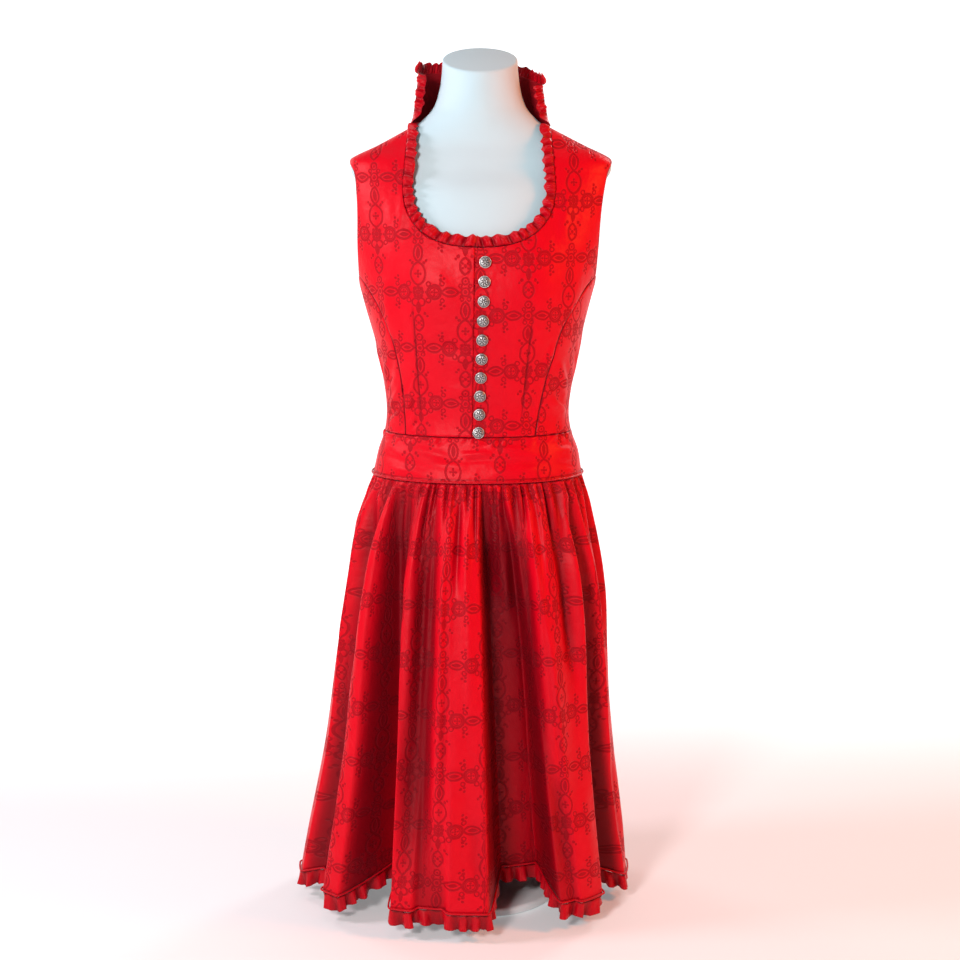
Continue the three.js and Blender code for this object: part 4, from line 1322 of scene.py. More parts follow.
        armhole = self.armhole(side, -1)
        inner_top = inner(np.array([0.0, 1.0]))[1]

        def foot(t: Array) -> Array:
            return np.where((t >= 1)[..., None], inner_top, armhole(self.princess_share * t))

        left, right = (outer, inner) if side < 0 else (inner, outer)
        top = foot if side < 0 else (lambda s: foot(1 - s))
        return patch(left, right, 44, np.linspace(0, 1, 89), top)

    def back(self) -> Array:
        """Grid of the back, cut in one piece."""
        lower_share = 6 / 14

        def up_edge(side: int) -> Edge:
            def below(t: Array) -> Array:
                z = lerp(BAND_TOP + SEAM, UNDERARM, np.asarray(t, float))
                angle = seam_angle(z, 1)
                return pairs(angle if side > 0 else FULL_TURN - angle, z)

            return chained(lower_share, below, self.armhole(side, 1))

        shoulder = 0.2

        def top(s: Array) -> Array:
            slope = np.minimum(1, np.minimum(s, 1 - s) / shoulder)
            round_part = np.clip((s - shoulder) / (1 - 2 * shoulder), 0, 1)
            z = lerp(SHOULDER_TIP, NECK_POINT, slope)
            angle = seam_angle(z, 1)
            return pairs(lerp(angle, FULL_TURN - angle, round_part), z)

        t = np.linspace(0, 1, 141)
        upper = 1 - lower_share
        rows = np.where(t < lower_share, t, 1 - upper * (np.maximum(0, 1 - t) / upper) ** 1.6)
        return patch(up_edge(1), up_edge(-1), 120, rows, top)

    def build(self) -> None:
        """Builds the five panels."""
        self.panel(
            "front_right", self.front(-1), FRONT_RIGHT_CREASES, (-82, 872), (0.205, 0.42, 0.0515),
            grooves=(True, False), darts=(Crease((-91, 884), (-78, 668), 1.5, -1.2),), lift=self.lift,
        )
        self.panel(
            "front_left", self.front(1), FRONT_LEFT_CREASES, (64, 916), (0.215, 0.42, 0.055),
            grooves=(False, True), darts=(Crease((73, 872), (53, 668), 1.5, -1.2),),
        )
        self.panel(
            "side_front_right", self.side_front(-1), SIDE_RIGHT_CREASES, (-150, 860), (0.1, 0.22, 0.0158),
            grooves=(True, True), sideways=True,
        )
        self.panel(
            "side_front_left", self.side_front(1), SIDE_LEFT_CREASES, (150, 820), (0.12, 0.22, 0.019),
            grooves=(True, True), sideways=True,
        )
        self.panel("back", self.back(), BACK_CREASES, (420, 850), (0.5, 0.42, 0.166), grooves=(True, True))


FRONT_RIGHT_CREASES = crease_set(
    (-97, 728, -83, 762, 3.2, 1.8), (-99, 700, -82, 735, 3.0, -1.9), (-97, 690, -82, 716, 3.4, 1.9),
    (-94, 684, -82, 700, 2.6, -1.4), (-78, 806, -14, 794, 9.0, -2.6), (-60, 782, -14, 778, 7.0, 1.6),
    (-50, 744, -14, 740, 6.0, 1.4), (-40, 730, -13, 728, 4.0, -1.1), (-128, 905, -118, 800, 9.0, 2.6),
    (-104, 1010, -112, 930, 7.0, 2.1, 4), (-136, 1000, -126, 925, 8.0, -1.9),
    (-60, 905, -30, 846, 10.0, 1.4),
)
FRONT_LEFT_CREASES = crease_set(
    (-4, 900, 16, 897, 2.4, -1.1), (-6, 873, 14, 876, 2.4, -1.3), (-6, 848, 18, 845, 2.6, -1.1),
    (-8, 823, 12, 825, 2.2, -1.1), (-8, 797, 16, 795, 2.4, -1.3), (-9, 771, 12, 773, 2.2, -1.1),
    (-10, 747, 14, 745, 2.6, -1.1), (-10, 722, 10, 724, 2.2, -1.1), (-10, 697, 12, 695, 2.4, -1.1),
    (84, 760, 100, 800, 4.0, 2.1), (62, 690, 74, 724, 4.0, -2.1), (120, 1000, 112, 930, 8.0, 2.1, -3),
    (134, 905, 118, 820, 9.0, 2.2),
)
SIDE_RIGHT_CREASES = crease_set(
    (-30, 752, -62, 786, 4.5, 2.4), (-26, 730, -58, 762, 4.0, -2.2), (-30, 706, -66, 744, 4.5, 2.6),
    (-22, 692, -56, 716, 4.0, -2.1), (-12, 800, -30, 742, 5.0, 1.9),
)
SIDE_LEFT_CREASES = crease_set(
    (-72, 776, -40, 736, 5.0, 2.9), (-74, 752, -38, 712, 4.6, -2.4), (-66, 724, -30, 700, 5.0, 2.4),
    (-50, 800, -22, 770, 5.0, -1.9), (-14, 820, -18, 740, 6.0, 1.9),
)
BACK_CREASES = crease_set(
    (-110, 700, -60, 742, 5.0, 2.7), (-104, 726, -52, 764, 5.5, -2.4), (106, 704, 58, 748, 5.5, 2.6),
    (96, 730, 46, 770, 5.0, -2.2), (-40, 712, 44, 706, 6.0, 2.4, 4), (-52, 732, 38, 728, 7.0, -2.1, 3),
    (-130, 860, -96, 930, 8.0, 1.9), (132, 866, 98, 936, 8.0, 2.1), (-40, 1040, 34, 1036, 8.0, -1.6),
)


# --- Collar and ruched frills -------------------------------------------------------------------


@dataclass
class Frames:
    """Evenly spaced places along an edge: points, directions in the cloth and outward directions."""

    point: Array
    inward: Array
    out: Array

    @property
    def length(self) -> float:
        """Length of the edge."""
        return float(lengths_along(self.point)[-1])

    def even(self, pitch: float) -> "Frames":
        """The same edge at even steps of about the pitch given."""
        lengths = lengths_along(self.point)
        wanted = np.linspace(0, lengths[-1], max(2, round(lengths[-1] / pitch)) + 1)
        resample = lambda values: np.stack([np.interp(wanted, lengths, values[:, k]) for k in range(3)], -1)
        return Frames(resample(self.point), unit(resample(self.inward)), unit(resample(self.out)))


def strip(
    name: str, frames: Frames, reach: Array, levels: tuple[Array, Array], chart: Array, seams: Array,
    order: tuple[slice, ...], satin: bpy.types.Material,
) -> bpy.types.Object:
    """Builds a gathered strip of satin.

    Args:
        name: Name of the piece.
        frames: Its sewn edge.
        reach: How far each point of its grid lies inward of the edge.
        levels: How far out its outside and its inside lie.
        chart: Cloth coordinates of each point, in millimetres.
        seams: Strength of the shadow at each point.
        order: Order of its rows and columns that turns its faces outward.
        satin: Its material.

    Returns:
        The new piece.
    """
    moved = frames.point[None] + frames.inward[None] * reach[..., None]
    layers = [(moved + frames.out[None] * level[..., None])[order] for level in levels]
    return Shell(name, *layers, chart[order], np.clip(seams, 0, 1)[order]).build(satin, satin)


def edge_frames(surface: Surface, edge: Edge, t: Array, turn: int) -> Frames:
    """Frames on an edge of a surface.

    Args:
        surface: Surface that the edge lies on.
        edge: The edge's [angle, up] pairs as a function of 0 to 1.
        t: Shares of the edge's length.
        turn: 1 or -1, for the side of the edge that counts as inward.

    Returns:
        The frames, with inward lying in the surface, square to the edge.
    """
    step = 0.002
    here, before, after = edge(t), edge(np.maximum(0, t - step)), edge(np.minimum(1, t + step))
    out = normals(surface, here[..., 0], here[..., 1])
    along = surface(after[..., 0], after[..., 1]) - surface(before[..., 0], before[..., 1])
    return Frames(surface(here[..., 0], here[..., 1]), unit(np.cross(out, along) * turn), out)


@dataclass(frozen=True)
class RuchedFrill:
    """Folded satin strip gathered into uneven puffs, sewn on by one edge."""

    width: float = 16.0
    period: float = 16.5
    rise: float = 8.2
    base: float = 0.9
    lap: float = 0.0  # how far its sewn edge laps over the outside of the piece below
    pitch: float = 0.85
    columns: int = 20

    def build(self, name: str, frames: Frames, seed: float, material: bpy.types.Material) -> bpy.types.Object:
        """Builds the frill.

        Args:
            name: Name of the piece.
            frames: Its sewn edge.
            seed: Shift that makes its puffs unlike another frill's.
            material: Satin of the frill.

        Returns:
            The new piece.
        """
        along = frames.even(self.pitch)
        s = lengths_along(along.point)[None, :]
        a = np.linspace(0, 1, self.columns + 1)[:, None]
        phase = FULL_TURN * s / self.period + 1.7 * np.sin(s / 19 + seed) + np.sin(s / 8.3 + 2 * seed)
        lean = 1.4 * np.sin(s / 27 + 3 * seed)
        puff = (0.5 + 0.5 * np.cos(phase + lean * a)) ** 0.8
        size = 0.78 + 0.22 * np.sin(s / 13 + 5 * seed)
        body = np.sin(math.pi * a**0.8) ** 0.7
        folds = 1.15 * np.cos(FULL_TURN * s / 6.1 + 4.2 * a + 2.2 * np.sin(s / 9 + seed))
        flutter = 1.5 * a**4 * np.cos(phase + 1 + seed)
        height = (THIN_WALL + 2 * SEAM) * ease(self.lap) * (1 - a) + self.base * np.minimum(1, 4 * a)
        height = height + self.calm(along) * (body * (self.rise * size * puff + folds) + flutter)
        reach = self.width * a * (0.93 + 0.09 * np.cos(phase + lean) + 0.03 * np.sin(s / 5.1 + seed))
        thickness = (THIN_WALL + 0.45 * np.maximum(height, 0)) * np.sqrt(np.maximum(0.02, 1 - a**5))
        levels = (height, height - thickness)
        chart = np.stack(np.broadcast_arrays(1.6 * s, self.width * a), -1)
        # A dark line along the sewn edge, and painted shade in the hollows between the puffs.
        seams = bell(a, 0.055) + 0.5 * (1 - puff) ** 3 * np.ones_like(a)
        return strip(name, along, SEAM - self.lap + reach, levels, chart, seams, np.s_[:, ::-1], material)

    def calm(self, along: Frames) -> Array:
        """Share of the puffs' height that is left where the sewn edge turns sharply."""
        turning = sum(np.linalg.norm(np.gradient(axis, axis=0), axis=1) for axis in (along.out, along.inward))
        spread = np.convolve(turning / self.pitch, np.full(17, 1 / 17), "same")
        return (1 - 0.88 * ease((spread - 0.03) / 0.045))[None, :]


@dataclass
class Collar:
    """Stand-up collar at the sides and back of the neck, and the frills round neckline and collar."""

    finishes: Finishes
    bodice: Bodice
    frill: RuchedFrill = RuchedFrill()
    fullness: float = 1.25
    strip_width: float = 0.017  # metres
    curl: float = 0.95  # how far the frill at the collar's ends turns in towards the neck, in radians

    def side_frames(self, side: int) -> Frames:
        """Sewn edge of one side's frill: round the neckline, then up the collar's front end."""
        bodice = self.bodice
        neckline = bodice.front_neckline(side)

        def lifted(angle: Array, z: Array) -> Array:
            return moved_out(BODY.point, angle, z, bodice.lift(angle, z))

        panel = lifted if side < 0 else BODY.point
        start = 0.0 if side < 0 else 0.026  # the left frill starts where the right front ends
        end_angle = FULL_TURN - RIGHT_ANGLE if side < 0 else RIGHT_ANGLE
        height = float(COLLAR.height(np.array(end_angle)))
        collar_share = height / (height + 225)
        joint = 0.05

        def on_neckline(t: Array) -> Frames:
            return edge_frames(panel, neckline, lerp(start, 0.985, t), side)

        def end_edge(t: Array) -> Array:
            return pairs(np.full(np.shape(t), end_angle), 0.03 + 0.94 * np.asarray(t))

        def on_collar(t: Array) -> Frames:
            frames = edge_frames(COLLAR.point, end_edge, t, side)
            turn = (self.curl * ease(t / 0.35))[:, None]
            inward = np.cos(turn) * frames.inward - np.sin(turn) * frames.out
            return Frames(frames.point, inward, np.cos(turn) * frames.out + np.sin(turn) * frames.inward)

        t = np.linspace(0, 1, 1201)
        along = t / (1 - collar_share)
        first = (1 - collar_share) * (1 + joint)
        up = np.clip((t - first) / (1 - first), 0, 1)
        lower, upper = on_neckline(np.clip(along, 0, 1 - joint)), on_collar(up)
        share = ease((along - (1 - joint)) / (2 * joint))[:, None]
        mixed = [lerp(p, q, share) for p, q in zip(
            (lower.point, lower.inward, lower.out), (upper.point, upper.inward, upper.out))]
        # The right frill runs on over centre front until it meets the left one.
        first = mixed[0][0] - unit(mixed[0][1] - mixed[0][0]) * (4.2 if side < 0 else 0.0)
        mixed[0] = np.concatenate([[first], mixed[0][1:]])
        return Frames(mixed[0], unit(mixed[1]), unit(mixed[2]))

    def build(self) -> None:
        """Builds the collar and its three frills."""
        low, high = RIGHT_ANGLE + 0.002, FULL_TURN - RIGHT_ANGLE - 0.002
        angle, up = np.meshgrid(np.linspace(low, high, 145), np.linspace(0, 1, 37))
        base = COLLAR.point(angle, up)
        out = normals(COLLAR.point, angle, up)
        degrees = np.degrees(angle)
        height = up * COLLAR.height(angle)
        rise = relief_of(COLLAR_CREASES, degrees * 1.5, height)
        chart = np.stack([lengths_along(base), height + 12], -1)
        piece = cloth_piece("collar", base, out, rise, chart, 0.8 * bell(height, 1.6), self.finishes)

        satin = self.finishes.satin
        for side, name, seed in ((-1, "neck_frill_right", 0.4), (1, "neck_frill_left", 2.3)):
            frames = self.side_frames(side)
            frill = self.frill.build(f"satin_{name}", frames, seed, satin)
            self.declare(frill, name, frames)

        def top_edge(t: Array) -> Array:
            return pairs(lerp(low, high, np.asarray(t)), np.ones(np.shape(t)))

        top = edge_frames(COLLAR.point, top_edge, np.linspace(0, 1, 601), 1)
        frill = RuchedFrill(rise=3.4, base=0.3, lap=1.6).build("satin_collar_frill", top, 4.1, satin)
        self.declare(frill, "collar_frill", top)

    def declare(self, frill: bpy.types.Object, node: str, frames: Frames) -> None:
        """Hides the part that a frill replaces; the size of the strip it is cut from is worked out but not
        used.
        """
        dress(frill, node)
        cut = (frames.length * MM * self.fullness, self.strip_width)


COLLAR_CREASES = crease_set(
    (160, 20, 190, 46, 8.0, 0.8), (250, 12, 268, 52, 9.0, -0.9), (330, 30, 366, 24, 7.0, 0.8),
    (372, 14, 392, 48, 6.0, -0.7),
)


# --- Waistband ----------------------------------------------------------------------------------


@dataclass
class Waistband:
    """Set-in waistband in two halves with side seams, puckered along its top seam and piped at its foot."""

    finishes: Finishes
    bodice: Bodice
    piping: Cord = Cord(1.3, 12, 0.7)
    seam_radius: float = 130.0
    stitch_height: float = 4.6  # of the stitched line above the foot
    pucker_reach: float = 9.0

    def half_angles(self, half: int, count: int) -> Array:
        """Angles of the columns of the front (0) or back (1) half."""
        gap = SEAM / 2 / self.seam_radius
        return half * math.pi + np.linspace(-RIGHT_ANGLE + gap, RIGHT_ANGLE - gap, count)

    def build(self) -> None:
        """Builds both halves and the piping."""
        for half, node in enumerate(("waistband_front", "waistband_back")):
            angles = self.half_angles(half, 221)
            angle, z = np.meshgrid(angles, np.linspace(BAND_BOTTOM, BAND_TOP, 37))
            base = BODY.point(angle, z)
            out = normals(BODY.point, angle, z)
            turn = np.degrees(angle) - 180 * half
            creases = WAIST_FRONT_CREASES if half == 0 else WAIST_BACK_CREASES
            rise = relief_of(creases, 2.35 * turn, z)
            below = BAND_TOP - z
            phase = turn * 0.55 + 2.2 * np.sin(turn / 9 + half) + 1.6 * np.sin(turn / 4.1 + 2 + half)
            strength = 0.65 + 0.35 * np.sin(turn / 7.7 + 3 * half)
            tail = np.exp(-((below - 4 - 2 * np.sin(turn / 6)) / (0.6 * self.pucker_reach)) ** 2)
            rise += 2.1 * strength * tail * np.sin(phase + below / 5)
            rise -= 0.9 * bell(below, 1.3) + 0.7 * bell(z - BAND_BOTTOM - self.stitch_height, 1.1)
            rise -= side_seams(base, 1.8)
            seams = bell(below, 0.9) + 0.7 * bell(z - BAND_BOTTOM - self.stitch_height, 0.8)
            chart = np.stack([self.bodice.lengths.across(angle, z) + 36, z - 606], -1)
            piece = cloth_piece(node, base, out, rise, chart, seams, self.finishes)

        angles = np.linspace(-math.pi, math.pi, 480, endpoint=False)
        level = np.full(angles.shape, BAND_BOTTOM + self.piping.radius)
        off = SEAM + self.piping.radius
        self.piping.lay("waistband_piping", BODY.point, angles, level, off, self.finishes.satin, joined=True)


WAIST_FRONT_CREASES = crease_set(
    (-120, 655, -52, 648, 5.0, -1.7, 3), (-96, 640, -20, 636, 6.0, 1.8), (-40, 653, 20, 656, 3.2, 1.6),
    (-34, 644, 34, 648, 3.6, -1.6), (30, 662, 92, 658, 3.4, 1.4), (20, 640, 120, 644, 6.5, -1.8, -2),
    (10, 630, 110, 634, 7.0, 1.8), (-150, 632, -80, 626, 5.0, 1.6), (-170, 648, -128, 640, 5.0, -1.6),
    (128, 656, 178, 650, 5.0, 1.6), (130, 638, 176, 630, 5.0, -1.4),
)
WAIST_BACK_CREASES = crease_set(
    (-150, 650, -84, 656, 5.0, -1.6), (-110, 634, -30, 640, 6.0, 1.8), (-60, 655, 24, 650, 4.0, 1.6),
    (-20, 642, 60, 646, 5.0, -1.7), (40, 632, 120, 636, 6.0, 1.7), (90, 656, 160, 650, 5.0, -1.6),
)


# --- Skirt --------------------------------------------------------------------------------------


@dataclass
class Skirt:
    """Gathered skirt in two widths with side seams, a corded tuck and a pleated ruffle along its hem."""

    finishes: Finishes
    columns: int = 330
    rows: int = 120
    piping: Cord = Cord(1.3, 10, 0.8)
    seam_radius: float = 150.0
    spacing_level: float = 170.0  # height at which the columns are spaced out
    tuck_height: float = 2.5  # over the ruffle's seam
    grain_level: float = 350.0  # height at which the pattern has its true size round the cloth
    rosette_turn: float = -17.0  # place of a rosette, in degrees from the front, on the middle fold
    rosette_z: float = 453.0
    ruffle_period: float = 25.0
    ruffle_wave: float = 5.6
    fullness: float = 1.35
    strip_width: float = 0.023  # metres

    def places(self, half: int, count: int) -> Array:
        """Places of the columns of the front (0) or back (1) width, closer together on the walls of folds."""
        gap = SEAM / 2 / self.seam_radius
        even = np.linspace(gap - RIGHT_ANGLE, RIGHT_ANGLE - gap, 1201) + half * math.pi
        lengths = lengths_along(SKIRT.point(even, np.full(even.shape, self.spacing_level)))
        t = np.linspace(0, 1, count)
        by_length = np.interp(t * lengths[-1], lengths, even)
        return lerp(by_length, lerp(even[0], even[-1], t), 0.5)

    def build(self) -> None:
        """Builds both widths with their tuck and ruffle."""
        around = np.linspace(-RIGHT_ANGLE, 1.5 * math.pi, 2401)
        grain = lengths_along(SKIRT.point(around, np.full(around.shape, self.grain_level)))
        origin = np.interp(math.radians(self.rosette_turn), around, grain)
        for half, side in enumerate(("front", "back")):
            place_line = self.places(half, self.columns + 1)
            t = np.linspace(0, 1, self.rows + 1)
            share = 1 - (1 - t) ** 1.35
            place, t_grid = np.meshgrid(place_line, share)
            z = lerp(SKIRT.seam_height(place), SKIRT.top, t_grid)
            base = SKIRT.point(place, z)
            out = normals(SKIRT.point, place, z)
            above_hem = z - SKIRT.seam_height(place)
            rise = -side_seams(base, 2.0) - 0.5 * bell(above_hem - 5.2, 1.2)
            seams = bell(SKIRT.top - z, 1.2) + 0.6 * bell(above_hem, 0.9)
            # Painted shade: the cloth's colour is drawn deeper where it lies back between folds.
            seams = np.maximum(seams, SKIRT.shade(place, z))
            chart = np.stack([np.interp(place, around, grain) - origin, z - self.rosette_z], -1)
            piece = cloth_piece(f"skirt_{side}", base, out, rise, chart, seams, self.finishes)
            self.tuck(half, side)
            self.hem_ruffle(half, side)

    def tuck(self, half: int, side: str) -> None:
        """Corded tuck just above the ruffle."""
        place = self.places(half, 700)
        level = SKIRT.seam_height(place) + self.tuck_height
        off = 1 + self.piping.radius
        self.piping.lay(f"hem_piping_{side}", SKIRT.point, place, level, off, self.finishes.satin)

    def hem_ruffle(self, half: int, side: str) -> None:
        """Ruffle of uneven little pleats along the hem."""
        place = np.linspace(*self.places(half, 2), 2401)
        level = SKIRT.seam_height(place) - 2 * SEAM
        flat = normals(SKIRT.point, place, level) * np.array([1.0, 1.0, 0.0])
        points = moved_out(SKIRT.point, place, level, -0.5 * WALL)
        points[:, 2] = level
        down = np.tile(np.array([0.0, 0.0, -1.0]), (len(place), 1))
        frames = Frames(points, down, unit(flat)).even(1.5)
        s = lengths_along(frames.point)[None, :]
        a = np.linspace(0, 1, 15)[:, None]
        phase = FULL_TURN * s / self.ruffle_period + 1.5 * np.sin(s / 29 + half)
        phase = phase + np.sin(s / 12.3 + 2 + half) + 0.9 * a * np.sin(s / 41)
        fold = np.tanh(1.7 * np.sin(phase)) / math.tanh(1.7) + 0.28 * np.sin(2.3 * phase + 1) * a
        size = 0.75 + 0.25 * np.sin(s / 17 + 4 * half)
        wave = lerp(0.7, self.ruffle_wave, a**0.75) * size * fold
        length = SKIRT.ruffle - 2 * SEAM
        drop = length * a * (0.97 - 0.05 * np.abs(fold)) + 0.5 * a * np.sin(s / 6.7)
        levels = (wave + 0.5 * THIN_WALL, wave - 0.5 * THIN_WALL)
        chart = np.stack(np.broadcast_arrays(1.5 * s, length * a), -1)
        seams = bell(a, 0.07) * (0.6 + 0.4 * np.sin(2.3 * phase)) + 0 * s
        # Painted shade in the troughs of the pleats.
        seams = seams + (0.35 + 0.3 * a) * (0.5 - 0.5 * fold) ** 1.5
        name, satin = f"hem_ruffle_{side}", self.finishes.satin
        piece = strip(f"satin_{name}", frames, drop, levels, chart, seams, np.s_[::-1, :], satin)
        dress(piece, name)
        cut = (frames.length * MM * self.fullness, self.strip_width)


# --- Buttons and loops --------------------------------------------------------------------------


@dataclass
class ButtonRow:
    """Ten domed pewter buttons on the left front, each held by a cord loop from the right front's edge."""

    finishes: Finishes
    bodice: Bodice
    count: int = 10
    top_z: float = 911.0
    bottom_z: float = 682.0
    top_x: float = 7.0
    bottom_x: float = -2.0
    radius: float = 8.0
    seat: float = 0.55
    shank_radius: float = 1.8
    cord: Cord = Cord(0.7, 8, 0.55)
    loop_reach: float = 3.4
    sides: int = 78
    rings: int = 27
    spin: float = 0.7  # turn of the relief from one button to the next, in radians

    def height(self, r: Array, turn: Array) -> tuple[Array, Array]:
        """Height of the button's face over the cloth, and how deep each place lies in its relief.

        Args:
            r: Distances from the middle.
            turn: Angles round the middle.

        Returns:
            The heights and the depths, from 0 on raised places to 1 in hollows.
        """
        dome = 4.3 + 2.1 * np.sqrt(np.maximum(0, 1 - (r / 7.4) ** 2))
        rim = 1.0 * bell(r - 7.35, 0.42)
        groove = 0.75 * bell(r - 6.55, 0.38)
        beads = 0.28 * bell(r - 5.7, 0.4) * (0.5 + 0.5 * np.cos(26 * turn))
        petal_reach = bell(r - 3.4, 1.3)
        petals = 0.42 * petal_reach * np.cos(3.5 * turn) ** 2
        boss = 0.35 * bell(r, 0.95)
        moat = 0.3 * bell(r - 1.75, 0.4)
        face = np.where(r > 6.9, 3.9 - 1.5 * np.clip((r - 7.4) / 0.6, 0, 1) ** 2, dome)
        blend = ease((r - 6.3) / 0.9)
        height = lerp(dome, face, blend) + rim - groove + beads + petals + boss - moat
        raised = rim + beads / 0.28 * 0.5 + petals / 0.42 * 0.8 + boss
        hollow = groove + moat + 0.55 * petal_reach * (1 - np.cos(3.5 * turn) ** 2)
        return height, np.clip(0.35 + 0.9 * hollow - 0.6 * raised, 0, 1)

    def button(self, number: int, x: float, z: float) -> None:
        """Builds one button."""
        angle = BODY.angle_at_x(np.array(x), np.array(z))
        out = normals(BODY.point, angle, np.array(z))
        across = unit(np.cross(np.array([0.0, 0.0, 1.0]), out))
        upward = np.cross(out, across)
        spin = self.spin * number
        turn = np.linspace(0, FULL_TURN, self.sides, endpoint=False)
        radii = self.radius * np.linspace(0.02, 1, self.rings)
        r, theta = np.meshgrid(radii, turn, indexing="ij")
        height, depth = self.height(r, theta + spin)
        back = [
            (self.radius, 3.0, 0.8), (6.0, 2.75, 0.9), (self.shank_radius, 2.6, 1.0),
            (self.shank_radius, self.seat, 1.0), (0.1, self.seat, 1.0),
        ]
        behind = np.repeat(np.array(back).T[..., None], self.sides, axis=2)
        rings_r, rings_h, marks = (np.concatenate(both) for both in zip((r, height, depth), behind))
        turns = np.broadcast_to(turn, rings_r.shape)
        origin = BODY.point(angle, np.array(z))
        points = (
            origin + rings_h[..., None] * out
            + (rings_r * np.cos(turns))[..., None] * across + (rings_r * np.sin(turns))[..., None] * upward
        )
        faces = capped_tube(len(rings_r), self.sides, inside_out=True)
        name, finish = f"button_{number:02d}", [self.finishes.pewter]
        piece = make_mesh(f"pewter_{name}", points.reshape(-1, 3), faces, finish, seams=marks.reshape(-1))
        dress(piece, name)

    def loop(self, number: int, x: float, z: float) -> None:
        """Builds the cord loop round one button's shank."""
        start = float(self.bodice.overlap_x(np.array(z))) + 0.4
        reach = self.loop_reach
        stops = np.array([
            (start, z + 2.2), (x - 0.5, z + reach), (x + reach, z), (x - 0.5, z - reach), (start, z - 2.2)
        ])
        t = np.linspace(0, 4, 33)
        low = np.minimum(t.astype(int), 3)
        share = (t - low)[:, None]
        before, after = stops[np.maximum(low - 1, 0)], stops[np.minimum(low + 2, 4)]
        here, there = stops[low], stops[low + 1]
        slope_in, slope_out = 0.5 * (there - before), 0.5 * (after - here)
        route = (
            here * (1 + 2 * share) * (1 - share) ** 2 + there * share**2 * (3 - 2 * share)
            + slope_in * share * (1 - share) ** 2 - slope_out * share**2 * (1 - share)
        )
        angle = BODY.angle_at_x(route[:, 0], route[:, 1])
        off = self.seat + self.cord.radius
        self.cord.lay(f"loop_{number:02d}", BODY.point, angle, route[:, 1], off, self.finishes.satin)

    def build(self) -> None:
        """Builds every button and loop."""
        for i in range(self.count):
            share = i / (self.count - 1)
            x, z = lerp(self.top_x, self.bottom_x, share), lerp(self.top_z, self.bottom_z, share)
            self.button(i + 1, x, z)
            self.loop(i + 1, x, z)


# --- Dress form ---------------------------------------------------------------------------------


